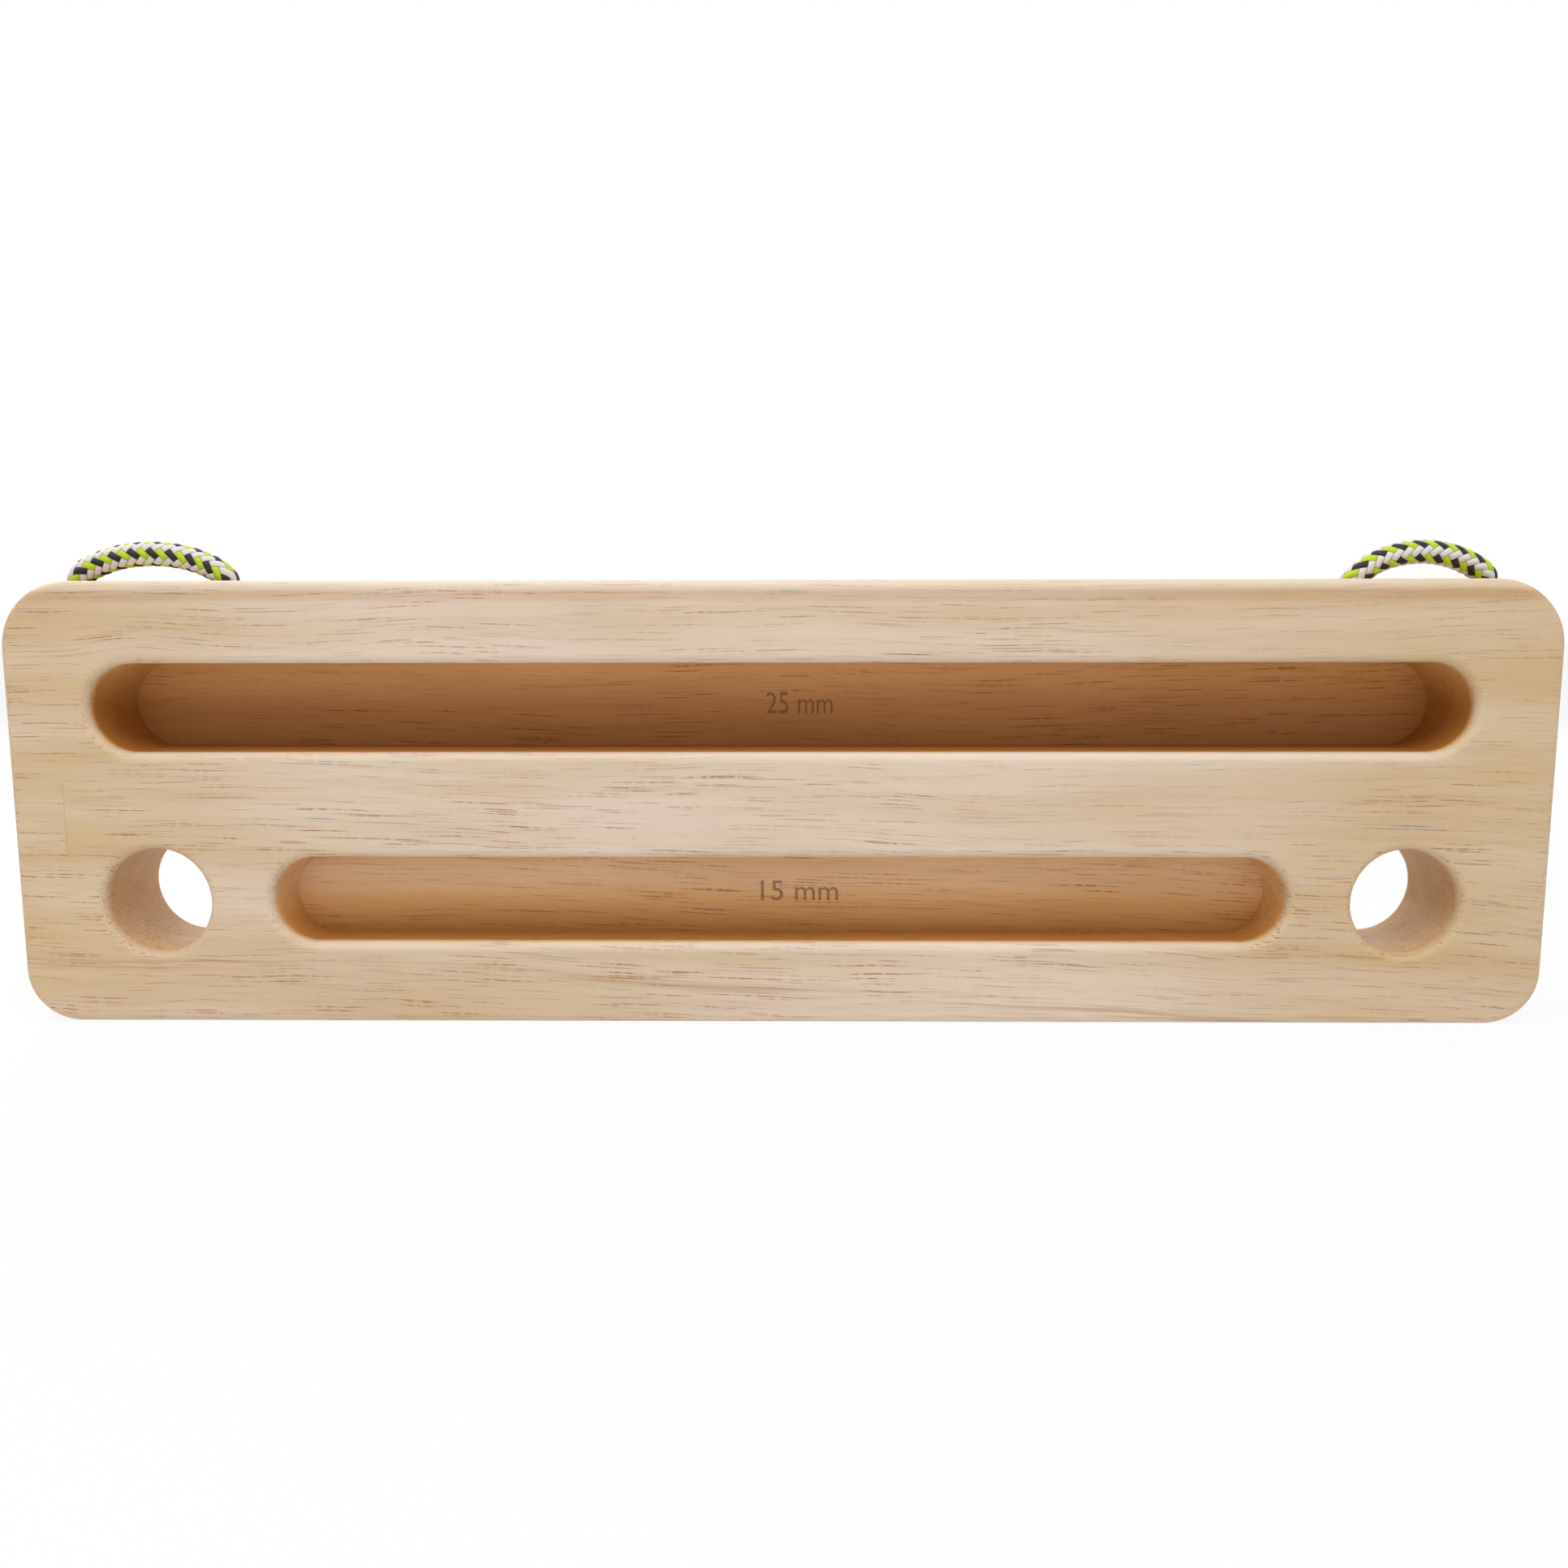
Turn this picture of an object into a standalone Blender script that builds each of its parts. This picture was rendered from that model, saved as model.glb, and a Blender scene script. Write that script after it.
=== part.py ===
"""Portable hangboard: a rubberwood board with two finger slots, hung from two knotted cords.

The board stands upright on its long lower side. Its front face looks along -Y, +X is its
length, and the origin is under the board's middle, on the surface that it stands on.
Each cord makes an arch over the top face, goes down through two slanted holes to the back,
and ends there in two overhand knots, with some slack that the arches can be pulled up by.
"""

import math

import bmesh
import bpy
import numpy as np
from mathutils import Matrix, Vector

# The board
BOARD_LENGTH = 0.460
BOARD_HEIGHT = 0.1335
BOARD_THICKNESS = 0.035
TOP_CORNER_RADIUS = 0.020
BOTTOM_CORNER_RADIUS = 0.016
EDGE_RADIUS = 0.0025
CORNER_SEGMENTS = 10
EDGE_SEGMENTS = 4

# The two finger slots, blind from the front face. A wall is left between a slot's end and the
# board's end, the upper slot is set down from the top face and the lower one up from the bottom.
UPPER_SLOT_END_WALL = 0.0275
UPPER_SLOT_HEIGHT = 0.0265
UPPER_SLOT_DEPTH = 0.025
UPPER_SLOT_DROP = 0.0375
LOWER_SLOT_END_WALL = 0.0795
LOWER_SLOT_HEIGHT = 0.026
LOWER_SLOT_DEPTH = 0.015
LOWER_SLOT_RISE = 0.038
SLOT_END_SEGMENTS = 16

# The two round grip holes, right through the board, set in from its ends
GRIP_HOLE_DIAMETER = 0.032
GRIP_HOLE_INSET = 0.042
GRIP_HOLE_RISE = 0.0375
GRIP_HOLE_SEGMENTS = 40

# The four cord holes, slanted from the top face to the back face, set in from the board's ends
CORD_HOLE_DIAMETER = 0.010
CORD_HOLE_SETBACK = 0.0155
CORD_HOLE_SLANT = math.radians(45)
CORD_MOUTH_RADIUS = 0.0025
CORD_MOUTH_SEGMENTS = 5
CORD_HOLE_SEGMENTS = 24
OUTER_CORD_HOLE_INSET = 0.0185
INNER_CORD_HOLE_INSET = 0.0585

# The cords
CORD_DIAMETER = 0.007
CORD_SIDES = 8
TUBE_POINT_SPACING = 0.0048
TOUCH_GAP = 0.0003
DOME_STEPS = (0.35, 0.65, 0.87, 0.98)

# The rows are hand-chosen route points of the arches, in metres: in from the board's end, back
# from the middle of the cord holes' top mouths, and up from the top face.
FOOT_BACK = 0.0006
FOOT_UP = 0.0017
ARCHES = {
    "left": ((0.0179, FOOT_BACK, FOOT_UP), (0.0235, 0.0002, 0.0053), (0.0315, 0.0, 0.0078),
             (0.0397, 0.0, 0.0085), (0.0478, 0.0, 0.0077), (0.0554, 0.0002, 0.0052),
             (0.0606, FOOT_BACK, FOOT_UP)),
    "right": ((0.0177, FOOT_BACK, FOOT_UP), (0.0224, 0.0002, 0.0050), (0.0292, 0.0, 0.0076),
              (0.0365, 0.0, 0.0085), (0.0437, 0.0, 0.0077), (0.0508, 0.0002, 0.0055),
              (0.0564, FOOT_BACK, FOOT_UP)),
}
# The rows are hand-chosen route points of the slack behind the board, in metres: back from the
# back face, and up from the middle of the cord hole's back mouth.
SLACK = {
    "outer": ((0.0052, -0.0052), (0.0095, -0.0105), (0.0118, -0.0170), (0.0122, -0.0250)),
    "inner": ((0.0052, -0.0052), (0.0095, -0.0105), (0.0118, -0.0170), (0.0122, -0.0300)),
}
# Where a leg's route points lie along its hole, as shares of the way from the top mouth
HOLE_SHARES = (0.30, 0.65, 1.0)

# The overhand knots: the loose knot's spread in cord diameters, and how it is pulled tight
KNOT_CORD_LENGTH = 0.108
KNOT_STRAND_GAP = 0.0007
KNOT_POINTS = 54
KNOT_SPREAD = (0.49, 0.43, 0.21)
KNOT_REACH = 2.12
KNOT_ROUNDS = 1000
KNOT_TIGHTENING_SHARE = 0.8
KNOT_SMOOTHING = 0.3
KNOT_LENGTH_STEPS = 6
KNOT_CONTACT_STEPS = 3
KNOT_NEIGHBOUR_REACH = 1.6
KNOT_END_POINTS = 3
KNOT_END_CENTRING = 0.7

# How finely the model is worked out
SHARP_ANGLE = math.radians(60)
SHADING_ANGLE = math.radians(35)
FLAT_ANGLE = math.radians(0.5)
SQUARE_ANGLE = math.radians(80)
MERGE_DISTANCE = 0.00001
CUT_OVERSHOOT = 0.010
CURVE_STEPS = 40

SIDES = {"left": -1, "right": 1}
FRONT = -BOARD_THICKNESS / 2
BACK = BOARD_THICKNESS / 2
CORD_HOLE_INSETS = {"outer": OUTER_CORD_HOLE_INSET, "inner": INNER_CORD_HOLE_INSET}
BOARD_COLOUR = (0.66, 0.50, 0.36, 1.0)
CORD_COLOUR = (0.26, 0.29, 0.09, 1.0)


def clear_scene():
    """Remove every object, so that the script gives the same model in any file."""
    for item in list(bpy.data.objects):
        bpy.data.objects.remove(item, do_unlink=True)


def make_collection(name):
    """Make a collection under the scene's own one."""
    collection = bpy.data.collections.new(name)
    bpy.context.scene.collection.children.link(collection)
    return collection


def make_material(name, colour, roughness):
    """Make a plain Principled material."""
    material = bpy.data.materials.new(name)
    material.use_nodes = True
    shader = material.node_tree.nodes["Principled BSDF"]
    shader.inputs["Base Color"].default_value = colour
    shader.inputs["Roughness"].default_value = roughness
    shader.inputs["Metallic"].default_value = 0.0
    return material


def add_object(name, data, collection, material=None):
    """Put a mesh or a curve into a collection as a named object."""
    item = bpy.data.objects.new(name, data)
    collection.objects.link(item)
    if material is not None:
        data.materials.append(material)
    return item


def mesh_from_bmesh(name, shape):
    """Turn a finished bmesh into a mesh."""
    mesh = bpy.data.meshes.new(name)
    shape.to_mesh(mesh)
    shape.free()
    return mesh


def mark_as_cutter(item):
    """Show a cutter as wire only, and keep it out of renders."""
    item.hide_render = True
    item.display_type = "WIRE"
    return item


def in_from_end(side, inset):
    """Give the X of a place that is set in from the board's left or right end."""
    return SIDES[side] * (BOARD_LENGTH / 2 - inset)


def board_blank():
    """Make the board's slab with its four round corners and sharp edges."""
    slab = bmesh.new()
    bmesh.ops.create_cube(slab, size=1.0)
    bmesh.ops.scale(slab, vec=(BOARD_LENGTH, BOARD_THICKNESS, BOARD_HEIGHT), verts=slab.verts)
    bmesh.ops.translate(slab, vec=Vector((0, 0, BOARD_HEIGHT / 2)), verts=slab.verts)
    for radius, at_top in ((TOP_CORNER_RADIUS, True), (BOTTOM_CORNER_RADIUS, False)):
        corners = []
        for edge in slab.edges:
            low, high = (vertex.co for vertex in edge.verts)
            runs_back = abs(high.y - low.y) > BOARD_THICKNESS / 2
            is_square = edge.calc_face_angle() > SQUARE_ANGLE
            if runs_back and is_square and (low.z > BOARD_HEIGHT / 2) == at_top:
                corners.append(edge)
        bmesh.ops.bevel(slab, geom=corners, offset=radius, segments=CORNER_SEGMENTS,
                        profile=0.5, affect="EDGES", material=-1)
    return slab


def slot_cutter(name, end_wall, height, depth, level, cutters):
    """Make a long cutter with full-round ends that sinks depth into the front face."""
    outline = bpy.data.curves.new(name, "CURVE")
    outline.dimensions = "2D"
    outline.fill_mode = "BOTH"
    outline.extrude = (depth + CUT_OVERSHOOT) / 2
    radius = height / 2
    middle = BOARD_LENGTH / 2 - end_wall - radius
    points = []
    for sign in (1, -1):
        for step in range(SLOT_END_SEGMENTS + 1):
            turn = math.pi * (step / SLOT_END_SEGMENTS - 0.5)
            points.append((sign * (middle + radius * math.cos(turn)), sign * radius * math.sin(turn)))
    path = outline.splines.new("POLY")
    path.points.add(len(points) - 1)
    for point, (along, up) in zip(path.points, points):
        point.co = (along, up, 0, 1)
    path.use_cyclic_u = True
    cutter = mark_as_cutter(solid_from_curve(add_object(name, outline, cutters), cutters))
    cutter.data.transform(Matrix.Rotation(math.radians(90), 4, "X"))
    cutter.location = (0, FRONT + (depth - CUT_OVERSHOOT) / 2, level)
    return cutter


def solid_from_curve(item, collection):
    """Turn a capped curve into one closed mesh object of the same name."""
    evaluated = item.evaluated_get(bpy.context.evaluated_depsgraph_get())
    mesh = bpy.data.meshes.new_from_object(evaluated)
    shape = bmesh.new()
    shape.from_mesh(mesh)
    bmesh.ops.remove_doubles(shape, verts=shape.verts, dist=MERGE_DISTANCE)
    shape.to_mesh(mesh)
    shape.free()
    name = item.name
    place = item.matrix_world.copy()
    bpy.data.objects.remove(item, do_unlink=True)
    solid = bpy.data.objects.new(name, mesh)
    collection.objects.link(solid)
    solid.matrix_world = place
    return solid


def grip_hole_cutter(side, cutters):
    """Make the round cutter of a grip hole, which runs past both faces of the board."""
    name = f"{side}_grip_hole_cutter"
    rod = bmesh.new()
    bmesh.ops.create_cone(rod, cap_ends=True, segments=GRIP_HOLE_SEGMENTS,
                          radius1=GRIP_HOLE_DIAMETER / 2, radius2=GRIP_HOLE_DIAMETER / 2,
                          depth=BOARD_THICKNESS + 2 * CUT_OVERSHOOT)
    centre = Vector((in_from_end(side, GRIP_HOLE_INSET), 0, GRIP_HOLE_RISE))
    turn = Matrix.Rotation(math.radians(90), 4, "X")
    bmesh.ops.transform(rod, matrix=Matrix.Translation(centre) @ turn, verts=rod.verts)
    return mark_as_cutter(add_object(name, mesh_from_bmesh(name, rod), cutters))


def cord_hole_cutter(side, place, cutters):
    """Make the cutter of a slanted hole whose two mouths are rounded.

    It is a loft of slanted sections: each is a round tube along the hole, as wide as the mouth
    is at its depth, cut level with the face that the mouth opens in.
    """
    name = f"{side}_{place}_cord_hole_cutter"
    top, back = cord_hole_ends(side, place)
    along = (back - top).normalized()
    sideways = Vector((1, 0, 0))
    across = along.cross(sideways)
    hole_radius = CORD_HOLE_DIAMETER / 2
    profile = [(CORD_MOUTH_RADIUS, -CUT_OVERSHOOT)]
    for step in range(CORD_MOUTH_SEGMENTS + 1):
        turn = math.pi / 2 * step / CORD_MOUTH_SEGMENTS
        profile.append((CORD_MOUTH_RADIUS * (1 - math.sin(turn)),
                        CORD_MOUTH_RADIUS * (1 - math.cos(turn))))
    up, rear = Vector((0, 0, 1)), Vector((0, 1, 0))
    sections = [(flare, top - up * depth, up) for flare, depth in profile]
    sections += [(flare, back - rear * depth, rear) for flare, depth in reversed(profile)]
    loft = bmesh.new()
    rings = []
    for flare, level, normal in sections:
        ring = []
        for step in range(CORD_HOLE_SEGMENTS):
            turn = math.tau * step / CORD_HOLE_SEGMENTS
            spoke = sideways * math.cos(turn) + across * math.sin(turn)
            start = top + spoke * (hole_radius + flare)
            ring.append(loft.verts.new(start + along * (level - start).dot(normal) / along.dot(normal)))
        rings.append(ring)
    for upper, lower in zip(rings, rings[1:]):
        for step in range(CORD_HOLE_SEGMENTS):
            loft.faces.new((upper[step - 1], upper[step], lower[step], lower[step - 1]))
    loft.faces.new(rings[0])
    loft.faces.new(rings[-1])
    bmesh.ops.recalc_face_normals(loft, faces=loft.faces)
    return mark_as_cutter(add_object(name, mesh_from_bmesh(name, loft), cutters))


def cord_hole_ends(side, place):
    """Give the middles of a cord hole's two mouths, on the top face and on the back face."""
    across = in_from_end(side, CORD_HOLE_INSETS[place])
    drop = (BOARD_THICKNESS - CORD_HOLE_SETBACK) * math.tan(CORD_HOLE_SLANT)
    top = Vector((across, FRONT + CORD_HOLE_SETBACK, BOARD_HEIGHT))
    back = Vector((across, BACK, BOARD_HEIGHT - drop))
    return top, back


def grip_cutters(cutters):
    """Make the cutters of the two finger slots and the two round grip holes."""
    made = [
        slot_cutter("upper_slot_cutter", UPPER_SLOT_END_WALL, UPPER_SLOT_HEIGHT,
                    UPPER_SLOT_DEPTH, BOARD_HEIGHT - UPPER_SLOT_DROP, cutters),
        slot_cutter("lower_slot_cutter", LOWER_SLOT_END_WALL, LOWER_SLOT_HEIGHT,
                    LOWER_SLOT_DEPTH, LOWER_SLOT_RISE, cutters),
    ]
    made += [grip_hole_cutter(side, cutters) for side in SIDES]
    return made


def cord_cutters(cutters):
    """Make the cutters of the four cord holes."""
    return [cord_hole_cutter(side, place, cutters) for side in SIDES for place in CORD_HOLE_INSETS]


def cut_with(item, made):
    """Cut each cutter out of an object, by a modifier that stays on it."""
    for cutter in made:
        cut = item.modifiers.new(cutter.name, "BOOLEAN")
        cut.operation = "DIFFERENCE"
        cut.solver = "EXACT"
        cut.object = cutter


def round_outward_edges(item):
    """Apply the cuts made so far, and round every sharp edge that stands outward."""
    bpy.context.view_layer.update()
    evaluated = item.evaluated_get(bpy.context.evaluated_depsgraph_get())
    shape = bmesh.new()
    shape.from_mesh(bpy.data.meshes.new_from_object(evaluated))
    item.modifiers.clear()
    bmesh.ops.remove_doubles(shape, verts=shape.verts, dist=MERGE_DISTANCE)
    bmesh.ops.dissolve_limit(shape, angle_limit=FLAT_ANGLE, verts=shape.verts, edges=shape.edges)
    sharp = [edge for edge in shape.edges
             if edge.is_convex and edge.calc_face_angle(0) > SHARP_ANGLE]
    bmesh.ops.bevel(shape, geom=sharp, offset=EDGE_RADIUS, segments=EDGE_SEGMENTS,
                    profile=0.5, affect="EDGES", clamp_overlap=False, material=-1)
    shape.to_mesh(item.data)
    shape.free()


def make_board(parts, cutters, material):
    """Cut the grips out of the slab, round its edges, then cut the cord holes."""
    board = add_object("board", mesh_from_bmesh("board", board_blank()), parts, material)
    cut_with(board, grip_cutters(cutters))
    round_outward_edges(board)
    board.data.shade_smooth()
    board.data.set_sharp_from_angle(angle=SHADING_ANGLE)
    cut_with(board, cord_cutters(cutters))
    return board


def smooth_route(points, spacing):
    """Read evenly spaced points from a natural cubic curve through the given points."""
    points = np.array([tuple(point) for point in points], dtype=float)
    knots = np.concatenate([[0], np.cumsum(np.linalg.norm(np.diff(points, axis=0), axis=1))])
    steps = np.diff(knots)
    count = len(points)
    matrix = np.eye(count)
    right = np.zeros_like(points)
    for i in range(1, count - 1):
        matrix[i, i - 1:i + 2] = (steps[i - 1], 2 * (steps[i - 1] + steps[i]), steps[i])
        right[i] = 6 * ((points[i + 1] - points[i]) / steps[i]
                        - (points[i] - points[i - 1]) / steps[i - 1])
    bends = np.linalg.solve(matrix, right)
    fine = []
    for i, step in enumerate(steps):
        for share in np.linspace(0, 1, CURVE_STEPS, endpoint=i == count - 2):
            far, near = share * step, (1 - share) * step
            fine.append((bends[i] * near ** 3 + bends[i + 1] * far ** 3) / (6 * step)
                        + (points[i] / step - bends[i] * step / 6) * near
                        + (points[i + 1] / step - bends[i + 1] * step / 6) * far)
    return even_points(np.array(fine), spacing)


def even_points(fine, spacing):
    """Resample a dense line at an even spacing, both of its ends kept."""
    reach = np.concatenate([[0], np.cumsum(np.linalg.norm(np.diff(fine, axis=0), axis=1))])
    count = max(2, round(reach[-1] / spacing) + 1)
    wanted = np.linspace(0, reach[-1], count)
    return np.stack([np.interp(wanted, reach, fine[:, axis]) for axis in range(3)], axis=1)


def cord_tube(name, points, parts, material, swell=None):
    """Make a capped tube of the cord's diameter along the points."""
    curve = bpy.data.curves.new(name, "CURVE")
    curve.dimensions = "3D"
    curve.bevel_depth = CORD_DIAMETER / 2
    curve.bevel_resolution = (CORD_SIDES - 4) // 2
    curve.use_fill_caps = True
    path = curve.splines.new("POLY")
    path.points.add(len(points) - 1)
    for index, point in enumerate(points):
        path.points[index].co = (*point, 1)
        path.points[index].radius = 1.0 if swell is None else swell[index]
    return add_object(name, curve, parts, material)


def arch_route(side):
    """Give the route of an arch, from its outer foot to its inner one."""
    mouth = FRONT + CORD_HOLE_SETBACK
    return [Vector((in_from_end(side, inset), mouth + back, BOARD_HEIGHT + up))
            for inset, back, up in ARCHES[side]]


def foot_place(side, place):
    """Give the point where an arch meets its cord hole, on the axis that the arch leans about."""
    return arch_route(side)[0 if place == "outer" else -1]


def dome_points(beside, end):
    """Give the points of a half-ball that closes a tube past its end."""
    outward = (end - beside) / np.linalg.norm(end - beside)
    return [end + outward * step * CORD_DIAMETER / 2 for step in DOME_STEPS]


def make_arch(side, parts, material):
    """Make one arch, its ends domed about the two points that it leans on."""
    points = smooth_route(arch_route(side), TUBE_POINT_SPACING)
    first = dome_points(points[1], points[0])[::-1]
    last = dome_points(points[-2], points[-1])
    sizes = [math.sqrt(1 - step * step) for step in DOME_STEPS]
    arch = cord_tube(f"{side}_cord_arch", [*first, *points, *last], parts, material,
                     [*sizes[::-1], *[1.0] * len(points), *sizes])
    hinge = foot_place(side, "outer")
    arch.data.transform(Matrix.Translation(-hinge))
    arch.location = hinge
    return arch


def leg_route(side, place):
    """Give the route of a leg, from the arch's foot through its hole to the knot."""
    top, back = cord_hole_ends(side, place)
    route = [foot_place(side, place)]
    route += [top.lerp(back, share) for share in HOLE_SHARES]
    route += [back + Vector((0, behind, up)) for behind, up in SLACK[place]]
    return route


def make_leg(side, place, parts, material):
    """Make one leg, starting just clear of the arch's domed end."""
    fine = smooth_route(leg_route(side, place), CORD_DIAMETER / CURVE_STEPS)
    away = np.linalg.norm(fine - fine[0], axis=1)
    kept = fine[away > CORD_DIAMETER / 2 + TOUCH_GAP]
    points = even_points(kept, TUBE_POINT_SPACING)
    return cord_tube(f"{side}_{place}_cord_leg", points, parts, material)


def loose_knot():
    """Give the centre line of a wide open overhand knot, as evenly spaced points."""
    turn = np.linspace(KNOT_REACH, -KNOT_REACH, KNOT_POINTS)
    spread = np.array(KNOT_SPREAD) * CORD_DIAMETER
    line = np.stack([turn ** 3 - 3 * turn,
                     turn ** 4 - 4 * turn ** 2 + 2,
                     turn ** 5 - 10 * turn], axis=1) * spread
    length = np.linalg.norm(np.diff(line, axis=0), axis=1).sum()
    return even_points(line, length / (KNOT_POINTS - 1))


def keep_spacing(line, spacing):
    """Move the points along the line until neighbours are one spacing apart."""
    for _ in range(KNOT_LENGTH_STEPS):
        gaps = line[1:] - line[:-1]
        sizes = np.linalg.norm(gaps, axis=1, keepdims=True)
        shift = gaps * (sizes - spacing) / sizes / 2
        line[:-1] += shift
        line[1:] -= shift


def keep_apart(line, first, second):
    """Push strands that touch away from each other."""
    apart = CORD_DIAMETER + KNOT_STRAND_GAP
    for _ in range(KNOT_CONTACT_STEPS):
        gaps = line[second] - line[first]
        sizes = np.linalg.norm(gaps, axis=1)
        close = sizes < apart
        shift = gaps[close] * ((apart - sizes[close]) / sizes[close] / 4)[:, None]
        np.add.at(line, first[close], -shift)
        np.add.at(line, second[close], shift)


def overhand_knot():
    """Pull a loose overhand knot tight, and give its centre line from the top end down."""
    line = loose_knot()
    loose = np.linalg.norm(np.diff(line, axis=0), axis=1).mean()
    tight = KNOT_CORD_LENGTH / (KNOT_POINTS - 1)
    neighbours = math.ceil(KNOT_NEIGHBOUR_REACH * CORD_DIAMETER / tight)
    first, second = np.triu_indices(KNOT_POINTS, neighbours)
    for step in range(KNOT_ROUNDS):
        pulled = min(1, step / (KNOT_TIGHTENING_SHARE * KNOT_ROUNDS))
        line[1:-1] += KNOT_SMOOTHING * ((line[:-2] + line[2:]) / 2 - line[1:-1])
        keep_spacing(line, loose + (tight - loose) * pulled)
        keep_apart(line, first, second)
        line[:KNOT_END_POINTS, :2] *= KNOT_END_CENTRING
        line[-KNOT_END_POINTS:, :2] *= KNOT_END_CENTRING
    if line[0, 2] < line[-1, 2]:
        line = line[::-1]
    gaps = np.linalg.norm(line[second] - line[first], axis=1)
    print(f"overhand knot: least gap to itself {(gaps.min() - CORD_DIAMETER) * 1000:.2f} mm")
    return line - line[0]


def make_knot(side, place, line, parts, material):
    """Hang a knot from the end of a leg."""
    end = leg_route(side, place)[-1] - Vector((0, 0, TOUCH_GAP))
    points = [Vector((end.x + SIDES[side] * x, end.y + y, end.z + z)) for x, y, z in line]
    return cord_tube(f"{side}_{place}_knot", points, parts, material)


def main():
    """Build the whole hangboard."""
    clear_scene()
    parts = make_collection("portable_hangboard")
    cutters = make_collection("cutters")
    wood = make_material("rubberwood", BOARD_COLOUR, 0.55)
    cord = make_material("braided_cord", CORD_COLOUR, 0.8)
    make_board(parts, cutters, wood)
    line = overhand_knot()
    for side in SIDES:
        make_arch(side, parts, cord)
        for place in CORD_HOLE_INSETS:
            make_leg(side, place, parts, cord)
            make_knot(side, place, line, parts, cord)


main()
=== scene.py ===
"""The looks of the portable hangboard: a sanded rubberwood board on two braided, knotted cords.

The board stands on its long lower side, with its front face towards -Y and +X along it.
"""

import logging
import math
from collections.abc import Callable, Iterator
from contextlib import contextmanager
from dataclasses import dataclass
from enum import Enum
from typing import Any, NamedTuple

import bmesh
import bpy
import numpy as np
from mathutils import Matrix, Vector


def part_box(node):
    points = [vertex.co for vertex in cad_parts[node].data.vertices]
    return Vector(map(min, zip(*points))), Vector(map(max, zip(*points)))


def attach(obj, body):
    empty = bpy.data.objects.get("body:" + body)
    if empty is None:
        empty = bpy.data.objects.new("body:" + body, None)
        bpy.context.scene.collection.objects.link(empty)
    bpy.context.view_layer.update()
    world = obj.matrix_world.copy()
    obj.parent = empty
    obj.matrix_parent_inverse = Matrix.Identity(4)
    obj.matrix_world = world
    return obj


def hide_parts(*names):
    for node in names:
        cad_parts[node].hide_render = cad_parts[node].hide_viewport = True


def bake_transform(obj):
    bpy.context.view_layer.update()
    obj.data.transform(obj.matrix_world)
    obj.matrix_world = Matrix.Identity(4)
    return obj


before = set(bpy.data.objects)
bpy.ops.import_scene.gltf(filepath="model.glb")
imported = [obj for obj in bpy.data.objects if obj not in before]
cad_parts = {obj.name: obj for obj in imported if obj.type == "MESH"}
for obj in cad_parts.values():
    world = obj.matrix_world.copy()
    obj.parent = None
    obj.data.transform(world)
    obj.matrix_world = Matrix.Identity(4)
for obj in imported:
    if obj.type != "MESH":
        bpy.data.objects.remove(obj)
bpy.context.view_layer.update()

LOG = logging.getLogger("hangboard")
MERGE_DISTANCE = 0.000005
SMOOTH_ANGLE = math.radians(30)
TURN_TO_FRONT = Matrix.Rotation(math.radians(90), 4, "X")
WHITE = (1.0, 1.0, 1.0)

Colour = tuple[float, float, float]
Place3 = tuple[float, float, float]
Item = bpy.types.Object
Shape = bmesh.types.BMesh
Points = np.ndarray


class Named(Enum):
    """A choice with a word for the names of nodes and pieces."""

    @property
    def label(self) -> str:
        """The word."""
        return self.name.lower()


class Side(Named):
    """The board's two ends, with the sign of their X."""

    LEFT = -1
    RIGHT = 1


class Hole(Named):
    """A side's two cord holes, with their place in a pair of sizes."""

    OUTER = 0
    INNER = 1


def linear(*channels: int) -> Colour:
    """Turn a screen's colour, of 0 to 255 a channel, into a linear one of 0 to 1."""
    shares = [channel / 255 for channel in channels]
    return tuple(c / 12.92 if c <= 0.04045 else ((c + 0.055) / 1.055) ** 2.4 for c in shares)


def math_operator(operation: str, swapped: bool = False) -> Callable[..., "Shade"]:
    """Make an operator of Shade that adds a Math node, swapped where the other value is first."""
    return lambda shade, *others: shade.desk.math(
        operation, *((*others, shade) if swapped else (shade, *others)))


class Shade:
    """A socket of a node tree, on which Python's operators add Math nodes.

    A comparison gives 1 where it holds and 0 elsewhere, and a remainder is never below nought.
    """

    __add__, __radd__ = math_operator("ADD"), math_operator("ADD", swapped=True)
    __sub__, __rsub__ = math_operator("SUBTRACT"), math_operator("SUBTRACT", swapped=True)
    __mul__, __rmul__ = math_operator("MULTIPLY"), math_operator("MULTIPLY", swapped=True)
    __truediv__ = math_operator("DIVIDE")
    __mod__ = math_operator("FLOORED_MODULO")
    __pow__ = math_operator("POWER")
    __lt__, __gt__ = math_operator("LESS_THAN"), math_operator("GREATER_THAN")
    __abs__ = math_operator("ABSOLUTE")
    rounded = math_operator("ROUND")
    sine = math_operator("SINE")
    exponential = math_operator("EXPONENT")
    smaller, larger = math_operator("MINIMUM"), math_operator("MAXIMUM")

    def __init__(self, desk: "ShaderDesk", socket: bpy.types.NodeSocket) -> None:
        """Wrap one output socket of the desk's tree."""
        self.desk = desk
        self.socket = socket

    def output(self, name: str) -> "Shade":
        """Give another output of the same node."""
        return Shade(self.desk, self.socket.node.outputs[name])

    def fade(self, start: float, end: float) -> "Shade":
        """Rise smoothly from 0 at start to 1 at end, where end may be the smaller one."""
        (low, at_low), (high, at_high) = sorted(((start, 0.0), (end, 1.0)))
        return self.desk.add("ShaderNodeMapRange", {"interpolation_type": "SMOOTHSTEP"}, {
            "Value": self, "From Min": low, "From Max": high, "To Min": at_low,
            "To Max": at_high})


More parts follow.
